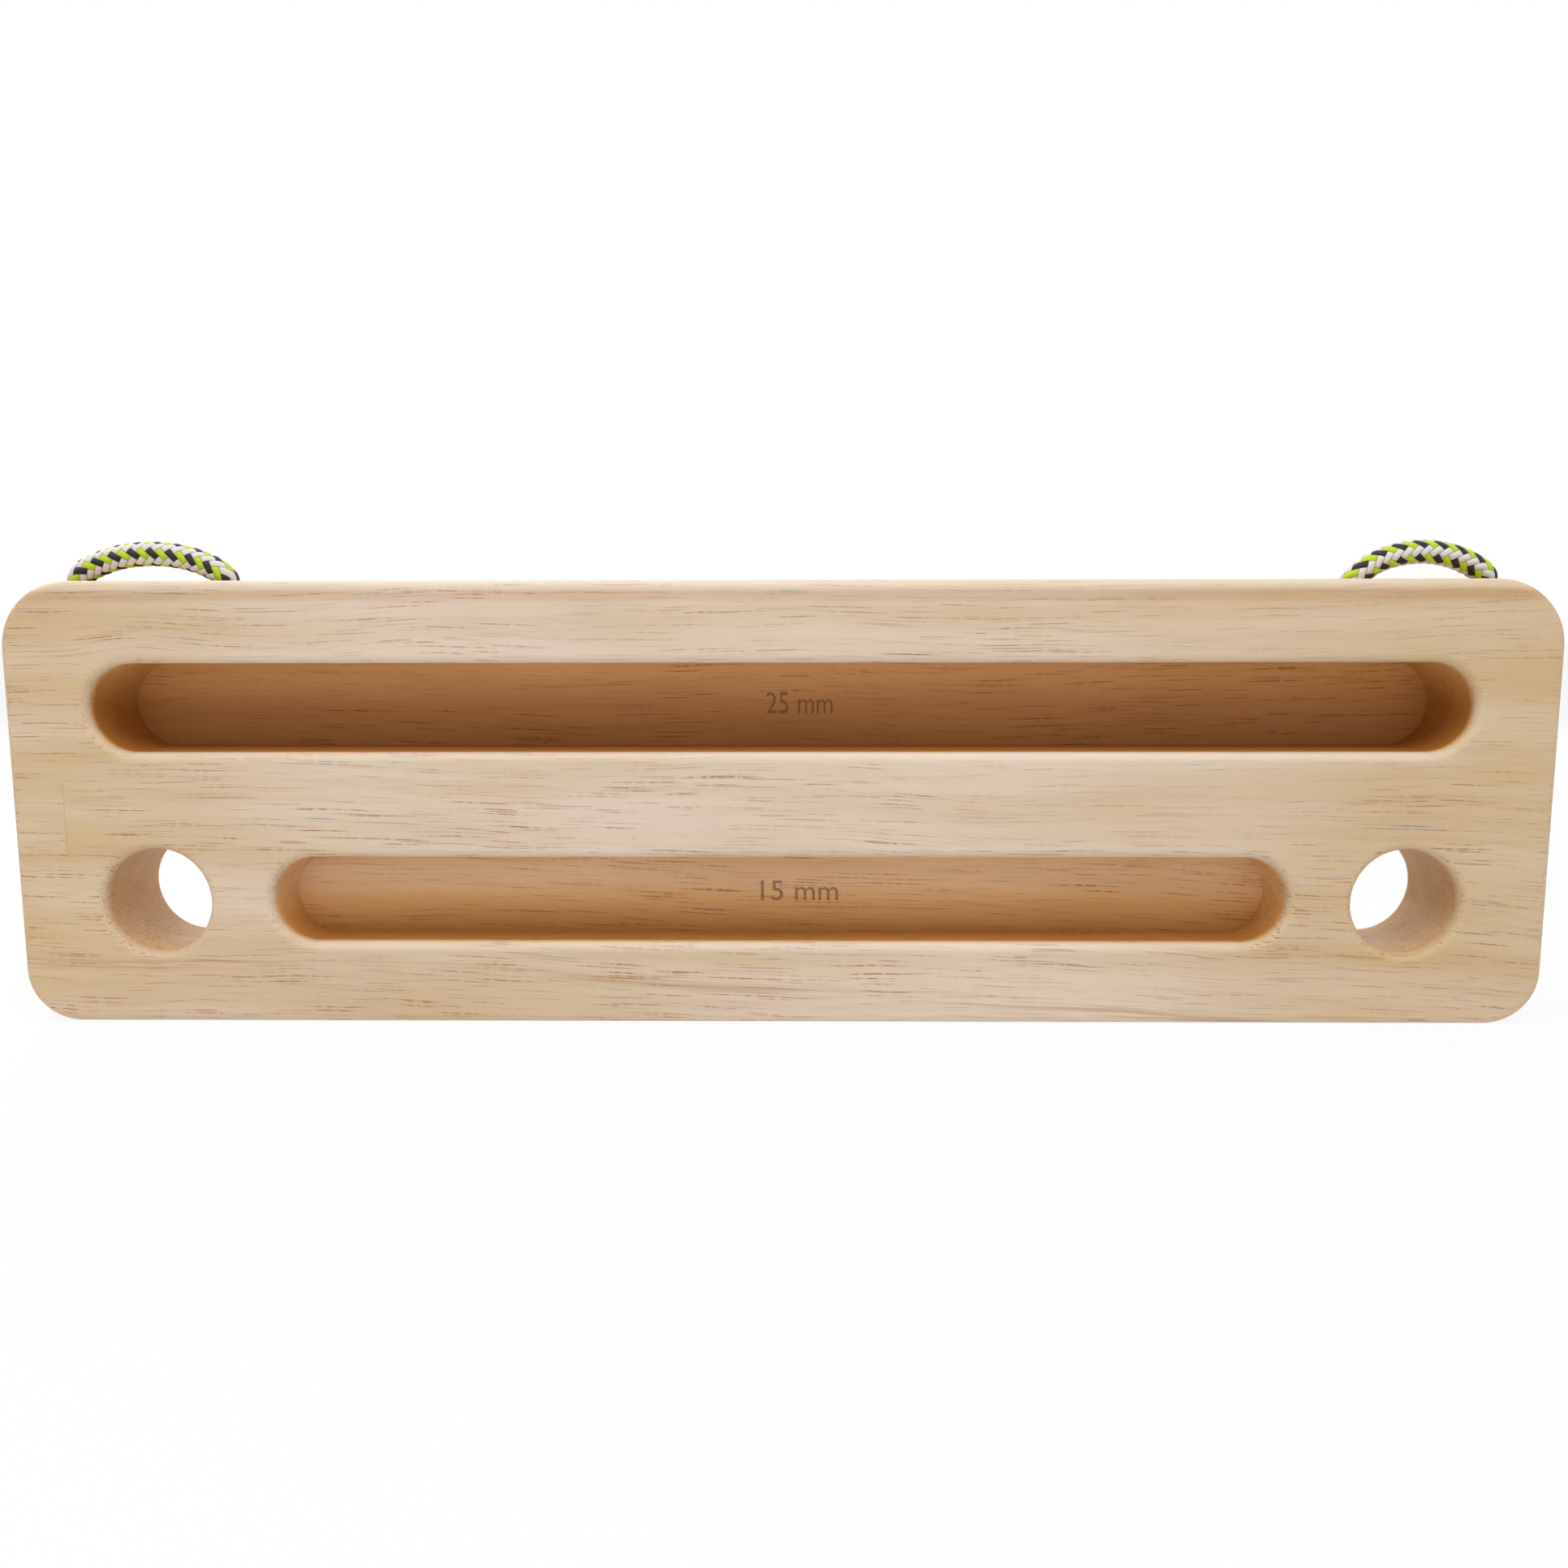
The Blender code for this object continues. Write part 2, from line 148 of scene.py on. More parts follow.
class Axes(NamedTuple):
    """A point's three numbers: along the board, through it and up it, in metres."""

    x: Shade
    y: Shade
    z: Shade

    def noise(self, along: float, through: float, up: float, detail: float = 2.0,
              roughness: float = 0.5) -> Shade:
        """Read a noise about 0.5 at this point, with a scale of its own on each axis."""
        point = self.x.desk.vector(self.x * along, self.y * through, self.z * up)
        return self.x.desk.noise(point, detail, roughness)


class ShaderDesk:
    """A new node tree, and the one method that adds any node to it."""

    def __init__(self, owner: bpy.types.Material | bpy.types.World) -> None:
        """Empty the tree.

        Args:
            owner: The new material or world that the tree is in.
        """
        owner.use_nodes = True
        self.owner, self.tree = owner, owner.node_tree
        self.tree.nodes.clear()

    def add(self, kind: str, settings: dict[str, Any] | None = None,
            sockets: dict[int | str, Any] | None = None, output: int | str = 0) -> Shade | None:
        """Add a node, make its settings, then fill its sockets.

        Args:
            kind: The node's type.
            settings: The node's own options.
            sockets: The value, colour or link of each socket by its name or number.
            output: The output to give back.

        Returns:
            The node's output, or None where it has none.
        """
        node = self.tree.nodes.new(kind)
        for name, value in (settings or {}).items():
            setattr(node, name, value)
        for key, value in (sockets or {}).items():
            socket = node.inputs[key]
            if isinstance(value, Shade):
                self.tree.links.new(value.socket, socket)
            elif socket.type == "RGBA" and len(value) == 3:
                socket.default_value = (*value, 1.0)
            else:
                socket.default_value = value
        return Shade(self, node.outputs[output]) if node.outputs else None

    def math(self, operation: str, *values: Any) -> Shade:
        """Add a Math node."""
        return self.add("ShaderNodeMath", {"operation": operation}, dict(enumerate(values)))

    def vector(self, x: Any, y: Any, z: Any) -> Shade:
        """Join three numbers into a vector."""
        return self.add("ShaderNodeCombineXYZ", None, {0: x, 1: y, 2: z})

    def axes(self, point: Shade) -> Axes:
        """Take a vector apart into its three numbers."""
        parts = self.add("ShaderNodeSeparateXYZ", None, {0: point})
        return Axes(parts, parts.output("Y"), parts.output("Z"))

    def object_axes(self) -> Axes:
        """Give the surface's place on the object."""
        return self.axes(self.add("ShaderNodeTexCoord", output="Object"))

    def noise(self, point: Shade, detail: float = 2.0, roughness: float = 0.5) -> Shade:
        """Add a Noise Texture, read at a point that is already stretched."""
        return self.add("ShaderNodeTexNoise", None, {"Vector": point, "Scale": 1.0,
                                                     "Detail": detail, "Roughness": roughness})

    def mix(self, share: Any, first: Any, second: Any, blend: str = "MIX") -> Shade:
        """Mix a share of the second colour into the first."""
        settings = {"data_type": "RGBA", "blend_type": blend}
        return self.add("ShaderNodeMix", settings, {0: share, 6: first, 7: second}, output=2)

    def tint(self, colour: Any, tone: Any) -> Shade:
        """Multiply a colour by another one."""
        return self.mix(1.0, colour, tone, "MULTIPLY")

    def choose(self, share: Shade, first: Shade, second: Shade) -> Shade:
        """Give the first number where the share is 0, and the second where it is 1."""
        return self.add("ShaderNodeMix", {"data_type": "FLOAT"}, {0: share, 2: first, 3: second})

    def bump(self, height: Shade, distance: float) -> Shade:
        """Turn a height into a normal, where a height of 1 is the distance in metres."""
        return self.add("ShaderNodeBump", None,
                        {"Strength": 1.0, "Distance": distance, "Height": height})

    def seen(self) -> Shade:
        """Give 1 to the camera's rays, also by way of gloss or glass, and 0 to all others."""
        ray = self.add("ShaderNodeLightPath", output="Is Camera Ray")
        return ray.larger(ray.output("Is Glossy Ray")).larger(ray.output("Is Transmission Ray"))

    def close(self, kind: str, shader: Shade) -> bpy.types.Material | bpy.types.World:
        """Lead a shader to the output of a Material or World tree, and give its owner."""
        self.add(f"ShaderNodeOutput{kind}", None, {"Surface": shader})
        return self.owner

    def finish(self, **sockets: Any) -> bpy.types.Material:
        """Close the tree with a Principled shader, whose sockets have underscores for spaces."""
        named = {key.replace("_", " "): value for key, value in sockets.items()}
        return self.close("Material", self.add("ShaderNodeBsdfPrincipled", None, named))


@dataclass(frozen=True)
class Rubberwood:
    """Sanded, unvarnished rubberwood whose grain runs along X, with browner painted shade where
    it is cut deep.

    An arris is given by its height and how far it reaches from the board's middle. A layer of
    vessels has a shift, scales along and across the grain, and the lines' width and strength.
    """

    length: float
    thickness: float
    height: float
    arrises: tuple[tuple[float, float], ...]
    name: str = "rubberwood"
    pale: Colour = linear(231, 211, 191)
    tan: Colour = linear(209, 179, 134)
    pore: Colour = linear(158, 88, 30)
    cool_pore: Colour = linear(140, 138, 160)
    streak: Colour = linear(190, 150, 108)
    pale_shade_tint: Colour = linear(255, 218, 160)
    deep_shade_tint: Colour = linear(201, 152, 84)
    bore_shade_tint: Colour = linear(240, 240, 222)
    under_rim_ochre: Colour = linear(236, 220, 200)
    sanded: Colour = linear(246, 232, 215)
    char: Colour = linear(96, 52, 20)
    charring: float = 0.0
    roughness: float = 0.50
    relief: float = 0.00006
    vessel_layers: tuple[tuple[float, float, float, float, float], ...] = (
        (0.0, 9, 900, 0.22, 0.8), (0.31, 17, 1050, 0.26, 0.9), (0.57, 34, 1150, 0.28, 0.8),
        (0.77, 26, 1500, 0.30, 0.5))
    knot_place: tuple[float, float] = (-0.1885, 0.1105)
    knot_size: tuple[float, float] = (0.0013, 0.0009)
    knot_swerve: tuple[float, float] = (0.013, 0.009)
    swerve_height: float = 0.0026
    glue_line: float = -0.2140
    glue_line_width: float = 0.00022
    glue_line_span: tuple[float, float] = (0.050, 0.074)
    streak_curve: tuple[float, float, float] = (0.0105, -0.0243, -0.095)
    streak_width: float = 0.0026
    rim_drop: float = 0.0046
    arris_drop: float = 0.0012
    corner_reach: tuple[float, float] = (0.0205, 0.0225)
    lower_slot_share: float = 0.36
    bore_shade_share: float = 0.34

    def material(self) -> bpy.types.Material:
        """Build the wood: slow bands, fine fibres, vessel lines, a streak, a pin knot, glue.

        Returns:
            The material.
        """
        desk = ShaderDesk(bpy.data.materials.new(self.name))
        at = desk.object_axes()
        grain = self.wander(at)
        fibres = grain.noise(60, 1100, 1100, 3)
        colour = self.ground(at, grain, fibres)
        lines, cool = self.vessels(grain)
        colour = desk.mix(lines * 0.95, colour, desk.mix(cool, self.pore, self.cool_pore))
        colour = desk.mix(self.knot_spot(at) * 0.16, colour, self.pore)
        colour = desk.mix(self.glue(at) * 0.22, colour, self.pore)
        # A darker, more ochre band a few millimetres under the top edge, all round the board.
        top_rim = abs(self.height - self.rim_drop - at.z).fade(0.0024, 0.0006)
        colour = desk.mix(top_rim * 0.6, colour, desk.tint(colour, self.under_rim_ochre))
        # Painted highlight along the top edge and the slots' lower lips, where their rounding
        # faces up.
        colour = desk.mix(self.sanded_arrises(at) * 0.3, colour, self.sanded)
        # Painted shade in the slots and bores: darker and browner deeper in, and in the slots
        # lower down.
        recess_shade, bore_shade = self.painted_recess_shade(at)
        # Painted shade that darkens the walls of the bores.
        colour = desk.mix(bore_shade, colour, desk.tint(colour, self.bore_shade_tint))
        pale_shade_tint, deep_shade_tint = (desk.tint(colour, tone) for tone in (self.pale_shade_tint, self.deep_shade_tint))
        colour = desk.mix(recess_shade * 2 - 1, desk.mix(recess_shade * 2, colour, pale_shade_tint), deep_shade_tint)
        if self.charring:
            colour = desk.mix(self.charring, colour, self.char)
        sanding = at.noise(400, 3500, 3500)
        height = (sanding - 0.5) * 0.3 + (fibres - 0.5) * 0.6 - lines * 1.6
        rough = self.roughness + (fibres - 0.5) * 0.2 + lines * 0.2
        return desk.finish(Base_Color=colour, Roughness=rough, IOR=1.45,
                           Specular_IOR_Level=0.45, Normal=desk.bump(height, self.relief))

    def wander(self, at: Axes) -> Axes:
        """Bend the straight axes as the fibres bend, also round the knot and past the glue line.

        Args:
            at: The place on the board.

        Returns:
            The axes that follow the fibres.
        """
        x, y, z = at
        slow, quick = at.noise(6, 5, 8, 1) - 0.5, at.noise(45, 20, 50, 1) - 0.5
        knot_x, knot_z = self.knot_place
        off_x, off_z = (x - knot_x) / self.knot_swerve[0], (z - knot_z) / self.knot_swerve[1]
        lift = self.swerve_height * ((off_x * off_x + off_z * off_z) * -0.7).exponential()
        over_knot = (z - knot_z).fade(-0.0006, 0.0006) * 2 - 1
        low, high = self.glue_line_span
        other_stave = (x < self.glue_line) * (z > low) * (z < high)
        tilt = x * (z.fade(0.12, 0.02) * 0.035 - 0.004)
        bent = z + tilt + slow * 0.015 + quick * 0.0012 - lift * over_knot
        return Axes(x, y + slow * 0.006 + other_stave * 0.015, bent)

    def ground(self, at: Axes, grain: Axes, fibres: Shade) -> Shade:
        """Colour the wood between its vessels.

        Args:
            at: The place on the board.
            grain: The axes that follow the fibres.
            fibres: The fine fibre noise.

        Returns:
            The colour.
        """
        desk, x = fibres.desk, at.x
        bands, lines = grain.noise(2.5, 60, 60), grain.noise(9, 420, 420)
        patches = at.noise(14, 20, 30)
        ends = abs(x + 0.02).fade(0.06, 0.24)
        tone = bands.fade(0.32, 0.66) * 0.5 + patches.fade(0.3, 0.7) * 0.3 + lines * 0.45
        colour = desk.mix(tone + 0.1 - ends * 0.6, self.tan, self.pale)
        colour = desk.mix((fibres - 0.35) * 0.35, colour, self.tan)
        start, slope, bend = self.streak_curve
        over = grain.z - (x * slope + x * x * bend + start)
        bundle = grain.noise(10, 900, 900, 1)
        dark = abs(over / self.streak_width).fade(1.0, 0.15) * bundle.fade(0.38, 0.62)
        return desk.mix(dark * 0.6, colour, self.streak)

    def vessels(self, grain: Axes) -> tuple[Shade, Shade]:
        """Draw the vessels that the cut opens, thin beaded lines that stand in loose crowds.

        Args:
            grain: The axes that follow the fibres.

        Returns:
            The lines from 0 to 1, and how cool their colour is.
        """
        x, y, z = grain
        desk = x.desk
        crowd = desk.noise(desk.vector(x * 9, y * 30, z * 42 + 4), 1).fade(0.30, 0.60)
        beads = grain.noise(420, 380, 380, 1).fade(0.36, 0.56)
        total = cool = 0.0
        for shift, along, across, width, strength in self.vessel_layers:
            point = desk.vector(x * along + shift, y * across, z * across + shift)
            cells = desk.add("ShaderNodeTexVoronoi", None, {"Vector": point, "Scale": 1.0})
            own, hue, _ = desk.axes(cells.output("Color"))
            line = cells.fade(width, width * 0.5) * (own * 0.6 + 0.4) * strength
            total = line.larger(total)
            cool = ((line > 0.02) * hue.fade(0.80, 0.88)).larger(cool)
        return total * (beads * 0.7 + 0.3) * (crowd * 0.6 + 0.4), cool

    def knot_spot(self, at: Axes) -> Shade:
        """Draw the pin knot, a small rounded spot.

        Args:
            at: The place on the board.

        Returns:
            The spot, from 0 to 1.
        """
        across = (at.x - self.knot_place[0]) / self.knot_size[0]
        up = (at.z - self.knot_place[1]) / self.knot_size[1]
        ripple = at.noise(1200, 0, 1200) * 0.8
        return (across * across + up * up + ripple).fade(1.6, 0.5)

    def glue(self, at: Axes) -> Shade:
        """Draw the faint upright line where two staves are butted together.

        Args:
            at: The place on the board.

        Returns:
            The line, from 0 to 1.
        """
        low, high = self.glue_line_span
        line = abs(at.x - self.glue_line).fade(self.glue_line_width, 0.00006)
        return line * at.z.fade(low, low + 0.001) * at.z.fade(high, high - 0.001)

    def sanded_arrises(self, at: Axes) -> Shade:
        """Tell where the painted highlight lies, on the front arrises that face up.

        Args:
            at: The place on the board.

        Returns:
            The share, from 0 to 1.
        """
        pale = 0.0
        for level, reach in self.arrises:
            near = abs(at.z - level + self.arris_drop).fade(0.0024, 0.0008)
            pale = (near * abs(at.x).fade(reach, reach - 0.014)).larger(pale)
        return pale * (at.y + self.thickness / 2).fade(0.0030, 0.0012)

    def painted_recess_shade(self, at: Axes) -> tuple[Shade, Shade]:
        """Tell how much painted shade darkens and browns the walls inside the cuts, most of all
        low down in the slots.

        Args:
            at: The place on the board.

        Returns:
            The painted shade, 0 on the outer faces, 0.5 at its palest and 1 at its deepest,
            and a mask that is 1 in the bores.
        """
        from_end, from_front = self.length / 2 - abs(at.x), at.y + self.thickness / 2
        inside = from_end.smaller(self.thickness / 2 - abs(at.y))
        inside = inside.smaller(at.z).smaller(self.height - at.z)
        upper = at.z > self.height / 2
        in_slot = upper.larger(abs(at.x) < self.lower_slot_share * self.length)
        # Painted shade, darker towards the bottom of each slot.
        down = upper * (0.5 + 0.5 * at.z.fade(0.109, 0.094))
        down = down + (1 - upper) * (0.30 + 0.70 * at.z.fade(0.044, 0.020))
        depth = inside.fade(0.0015, 0.0030) * from_front.fade(0.0015, 0.0045)
        depth = depth * from_end.fade(*self.corner_reach)
        bore_shade = depth * (1 - in_slot)
        return depth * in_slot * down + bore_shade * self.bore_shade_share, bore_shade


def plait(u: Any, v: Any, rounded: Callable[[Any], Any],
          choose: Callable[[Any, Any, Any], Any]) -> tuple[Any, Any, Any, Any, Any]:
    """Find the plait at a place on the braid, in a shader or in numpy's arrays.

    Args:
        u: Columns round the cord.
        v: Plaits along the cord.
        rounded: What gives the nearest whole number.
        choose: What gives its second value where its first is 0, and its third where it is 1.

    Returns:
        The numbers of the strand one way and the strand the other way, 1 where that one is on
        top, and the place across and along the plait, from -0.5 to 0.5.
    """
    rising, falling = v - u, v + u
    strand, counter = rounded(rising), rounded(falling)
    off_rising, off_falling = rising - strand, falling - counter
    turn = (counter - strand) % 4
    under = turn > 1.5
    across = choose(under, off_rising, off_falling)
    along = choose(under, off_falling + (turn > 0.5) - 0.5, off_rising - (turn > 2.5) + 0.5)
    return strand, counter, under, across, along


@dataclass(frozen=True)
class BraidedSheath:
    """The cord's sheath: grey strands one way, and black and neon yellow ones the other way.

    It reads the piece's UV map: U counts columns round the cord, and V plaits along it.
    """

    name: str = "braided_cord"
    black: Colour = linear(24, 25, 29)
    yellow: Colour = linear(200, 226, 28)
    grey: Colour = linear(238, 233, 226)
    yarns: int = 5
    roughness: float = 0.62
    relief: float = 0.00007

    def material(self) -> bpy.types.Material:
        """Build the sheath with its plaits, the yarns in each plait and the dark creases.

        Returns:
            The material.
        """
        desk = ShaderDesk(bpy.data.materials.new(self.name))
        u, v, _ = desk.axes(desk.add("ShaderNodeUVMap", {"uv_map": "braid"}))
        strand, counter, under, across, along = plait(u, v, Shade.rounded, desk.choose)
        bright = (strand % 2).fade(0.4, 0.6)
        colour = desk.mix(under, desk.mix(bright, self.black, self.yellow), self.grey)

        yarn = (across * math.tau * self.yarns).sine() * 0.5 + 0.5
        twist = desk.noise(desk.vector(across * 14, along * 3 + strand * 5, counter * 7))
        crown = 1 - (across * 2) ** 2
        crease = crown.fade(-0.02, 0.34) * (1 - abs(along) ** 6).fade(-0.05, 0.5)
        # Painted shade: darker in the creases between plaits and between yarns, with a random
        # tone from the twist noise.
        shade = (0.32 + 0.68 * crease) * (0.88 + 0.12 * yarn) * (0.90 + 0.2 * twist)
        colour = desk.tint(colour, desk.vector(shade, shade, shade))
        normal = desk.bump(yarn * 0.5 + crease * 1.2 + twist * 0.4, self.relief)
        return desk.finish(Base_Color=colour, Roughness=self.roughness, Normal=normal,
                           Sheen_Weight=0.15, Sheen_Roughness=0.4, Specular_IOR_Level=0.4)


@dataclass(frozen=True)
class MeltedTip:
    """The end of a cord that was cut hot, where all strands are fused."""

    name: str = "melted_tip"
    dark: Colour = linear(38, 38, 34)
    light: Colour = linear(112, 118, 52)
    roughness: float = 0.3
    relief: float = 0.0002

    def material(self) -> bpy.types.Material:
        """Build the fused nylon.

        Returns:
            The material.
        """
        desk = ShaderDesk(bpy.data.materials.new(self.name))
        flow = desk.object_axes().noise(700, 700, 500, 3, 0.6)
        colour = desk.mix(flow.fade(0.45, 0.65), self.dark, self.light)
        return desk.finish(Base_Color=colour, Roughness=self.roughness + flow * 0.2,
                           Normal=desk.bump(flow, self.relief))


def scene_object(name: str, data: bpy.types.ID) -> Item:
    """Put a mesh, text, lamp or camera into the scene.

    Args:
        name: The object's name.
        data: What it shows.

    Returns:
        The object.
    """
    item = bpy.data.objects.new(name, data)
    bpy.context.scene.collection.objects.link(item)
    return item


def solid_object(name: str, shape: Shape) -> Item:
    """Turn a finished bmesh into an object.

    Args:
        name: The object's name.
        shape: The bmesh, which is freed.

    Returns:
        The object.
    """
    mesh = bpy.data.meshes.new(name)
    shape.to_mesh(mesh)
    shape.free()
    return scene_object(name, mesh)


@contextmanager
def reworked(mesh: bpy.types.Mesh) -> Iterator[Shape]:
    """Open a mesh with its doubles merged, and write it back at the end.

    Args:
        mesh: The mesh.

    Yields:
        Its bmesh, for the operators.
    """
    shape = bmesh.new()
    shape.from_mesh(mesh)
    bmesh.ops.remove_doubles(shape, verts=shape.verts, dist=MERGE_DISTANCE)
    yield shape
    shape.to_mesh(mesh)
    shape.free()


def close_holes(shape: Shape) -> None:
    """Fill every open rim of a bmesh."""
    bmesh.ops.holes_fill(shape, edges=[edge for edge in shape.edges if edge.is_boundary])


def closed_loft(name: str, loft: Shape, rings: list[list[bmesh.types.BMVert]]) -> Item:
    """Join rings of points into one closed solid.

    Args:
        name: The solid's name.
        loft: The bmesh that the rings are in.
        rings: The rings in their order.

    Returns:
        The solid.
    """
    loops = [[edge for edge in loft.edges if edge.verts[0] in ring] for ring in map(set, rings)]
    for one, other in zip(loops, loops[1:]):
        bmesh.ops.bridge_loops(loft, edges=one + other)
    for loop in (loops[0], loops[-1]):
        bmesh.ops.holes_fill(loft, edges=loop)
    bmesh.ops.recalc_face_normals(loft, faces=loft.faces)
    return solid_object(name, loft)


def final_mesh(item: Item) -> bpy.types.Mesh:
    """Copy an object's shape as its modifiers leave it.

    Args:
        item: The object.

    Returns:
        The new mesh.
    """
    bpy.context.view_layer.update()
    final = item.evaluated_get(bpy.context.evaluated_depsgraph_get())
    return bpy.data.meshes.new_from_object(final)


def cut(item: Item, tools: list[Item]) -> None:
    """Cut tools out of an object, and remove the tools.

    Args:
        item: The object that is cut.
        tools: The closed solids that are taken out of it.
    """
    for tool in tools:
        step = item.modifiers.new(tool.name, "BOOLEAN")
        step.operation, step.solver, step.object = "DIFFERENCE", "EXACT", tool
    mesh = final_mesh(item)
    item.modifiers.clear()
    item.data = mesh
    for tool in tools:
        bpy.data.objects.remove(tool, do_unlink=True)


@dataclass(frozen=True)
class DepthMark:
    """A finger slot's depth, burnt into its back wall."""

    words: str
    width: float
    height: float
    across: float = 0.0065
    depth: float = 0.0002
    curve_steps: int = 6

    def tool(self, wall: float, level: float) -> Item:
        """Make the letters as closed solids that reach into the wall.

        Args:
            wall: The Y of the wall's surface.
            level: The Z of the letters' middle.

        Returns:
            The letters, ready to cut.
        """
        text = bpy.data.curves.new("depth_mark", "FONT")
        text.body, text.extrude, text.resolution_u = self.words, self.depth, self.curve_steps
        item = scene_object("depth_mark", text)
        mesh = final_mesh(item)
        bpy.data.objects.remove(item, do_unlink=True)
        with reworked(mesh) as shape:
            corners = np.array([vertex.co for vertex in shape.verts])
            low, high = corners.min(0), corners.max(0)
            middle = Matrix.Translation(-Vector((low + high) / 2))
            size = Matrix.Diagonal((self.width / (high[0] - low[0]),
                                    self.height / (high[1] - low[1]), 1, 1))
            place = Matrix.Translation((self.across, wall, level)) @ TURN_TO_FRONT
            bmesh.ops.transform(shape, matrix=place @ size @ middle, verts=shape.verts)
            bmesh.ops.recalc_face_normals(shape, faces=shape.faces)
        return scene_object("depth_mark", mesh)


@dataclass(frozen=True)
class FingerSlot:
    """A long slot with full-round ends, blind from the front face.

    The end wall is the wood left past the slot's end, measured at its back wall. From there the
    end leans outward to the front by the draft.
    """

    end_wall: float
    height: float
    depth: float
    level: float
    mark: DepthMark
    draft: float = 0.0029


@dataclass
class Board:
    """The rubberwood board: its CAD solid's sizes, finer round faces and slot ends with draft."""

    top_corner_radius: float = 0.020
    bottom_corner_radius: float = 0.016
    edge_radius: float = 0.0025
    grip_hole_diameter: float = 0.032
    grip_hole_inset: float = 0.042
    grip_hole_rise: float = 0.0375
    cord_hole_diameter: float = 0.010
    cord_hole_setback: float = 0.0155
    cord_hole_insets: tuple[float, float] = (0.0185, 0.0585)
    cord_mouth_radius: float = 0.0025
    mouth_lift: float = 0.00002
    overshoot: float = 0.010
    corner_segments: int = 24
    edge_segments: int = 6
    round_segments: int = 96
    sharp_edge: float = math.radians(60)
    flat_enough: float = math.radians(0.3)
    mark_charring: float = 0.62

    def __post_init__(self) -> None:
        """Take the board's outer size from the frame, and set the slots by it."""
        low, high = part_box("board")
        self.front, self.back = low.y, high.y
        self.length, self.thickness, self.height = high.x - low.x, high.y - low.y, high.z - low.z
        self.slots = [
            FingerSlot(0.0275, 0.0265, 0.025, self.height - 0.0375,
                       DepthMark("25 mm", 0.0208, 0.0068)),
            FingerSlot(0.0795, 0.026, 0.015, 0.038, DepthMark("15 mm", 0.0241, 0.0063)),
        ]

    def in_from_end(self, side: Side, inset: float) -> float:
        """Give the X of a place that is set in from one of the board's ends."""
        return side.value * (self.length / 2 - inset)

    def cord_hole_ends(self, side: Side, hole: Hole) -> tuple[Vector, Vector]:
        """Give the middles of a cord hole's mouths.

        Args:
            side: The board's end.
            hole: The hole.

        Returns:
            The mouth on the top face and the mouth on the back face.
        """
        across = self.in_from_end(side, self.cord_hole_insets[hole.value])
        run = self.thickness - self.cord_hole_setback
        top = Vector((across, self.front + self.cord_hole_setback, self.height))
        return top, Vector((across, self.back, self.height - run))

    def blank(self) -> Shape:
        """Make the slab with its four round corners.

        Returns:
            The slab.
        """
        slab = bmesh.new()
        bmesh.ops.create_cube(slab, size=1.0)
        bmesh.ops.scale(slab, vec=(self.length, self.thickness, self.height), verts=slab.verts)
        bmesh.ops.translate(slab, vec=(0, 0, self.height / 2), verts=slab.verts)
        for radius, level in ((self.top_corner_radius, self.height),
                              (self.bottom_corner_radius, 0.0)):
            corners = []
            for edge in slab.edges:
                one, other = (vertex.co for vertex in edge.verts)
                off = math.dist((abs(one.x), one.z), (self.length / 2, level))
                if off < MERGE_DISTANCE and abs(other.y - one.y) > self.thickness / 2:
                    corners.append(edge)
            bmesh.ops.bevel(slab, geom=corners, offset=radius, segments=self.corner_segments,
                            profile=0.5, affect="EDGES", material=-1)
        return slab

    def facing_tool(self, name: str, middle: tuple[float, float], radius: float,
                    sections: tuple[tuple[float, float], ...]) -> Item:
        """Make a tool that cuts from the front, round or with two round ends.

        Args:
            name: The tool's name.
            middle: The X and Z of its middle.
            radius: The radius of its ends.
            sections: Each section's distance from its middle to its ends' middles, and depth.

        Returns:
            The tool.
        """
        loft, rings = bmesh.new(), []
        for spread, depth in sections:
            ring = bmesh.ops.create_circle(loft, segments=self.round_segments,
                                           radius=radius)["verts"]
            half_step = math.pi / self.round_segments if spread else 0.0
            bmesh.ops.transform(loft, matrix=Matrix.Rotation(half_step, 4, "Z"), verts=ring)
            for vertex in ring:
                vertex.co.x += math.copysign(spread, vertex.co.x)
            place = Matrix.Translation((middle[0], self.front + depth, middle[1]))
            bmesh.ops.transform(loft, matrix=place @ TURN_TO_FRONT, verts=ring)
            rings.append(ring)
        return closed_loft(name, loft, rings)

    def grip_hole_tool(self, side: Side) -> Item:
        """Make the round tool of a grip hole, which goes right through."""
        middle = (self.in_from_end(side, self.grip_hole_inset), self.grip_hole_rise)
        return self.facing_tool("grip_hole_tool", middle, self.grip_hole_diameter / 2, (
            (0.0, self.thickness + self.overshoot), (0.0, -self.overshoot)))

    def slot_tool(self, slot: FingerSlot) -> Item:
        """Make the tool that cuts a finger slot, whose round ends open out to the front.

        Args:
            slot: The slot.

        Returns:
            The tool.
        """
        spread = self.length / 2 - slot.end_wall - slot.height / 2
        past_front = slot.draft * (1 + self.overshoot / slot.depth)
        return self.facing_tool("slot_tool", (0.0, slot.level), slot.height / 2, (
            (spread, slot.depth), (spread + past_front, -self.overshoot)))

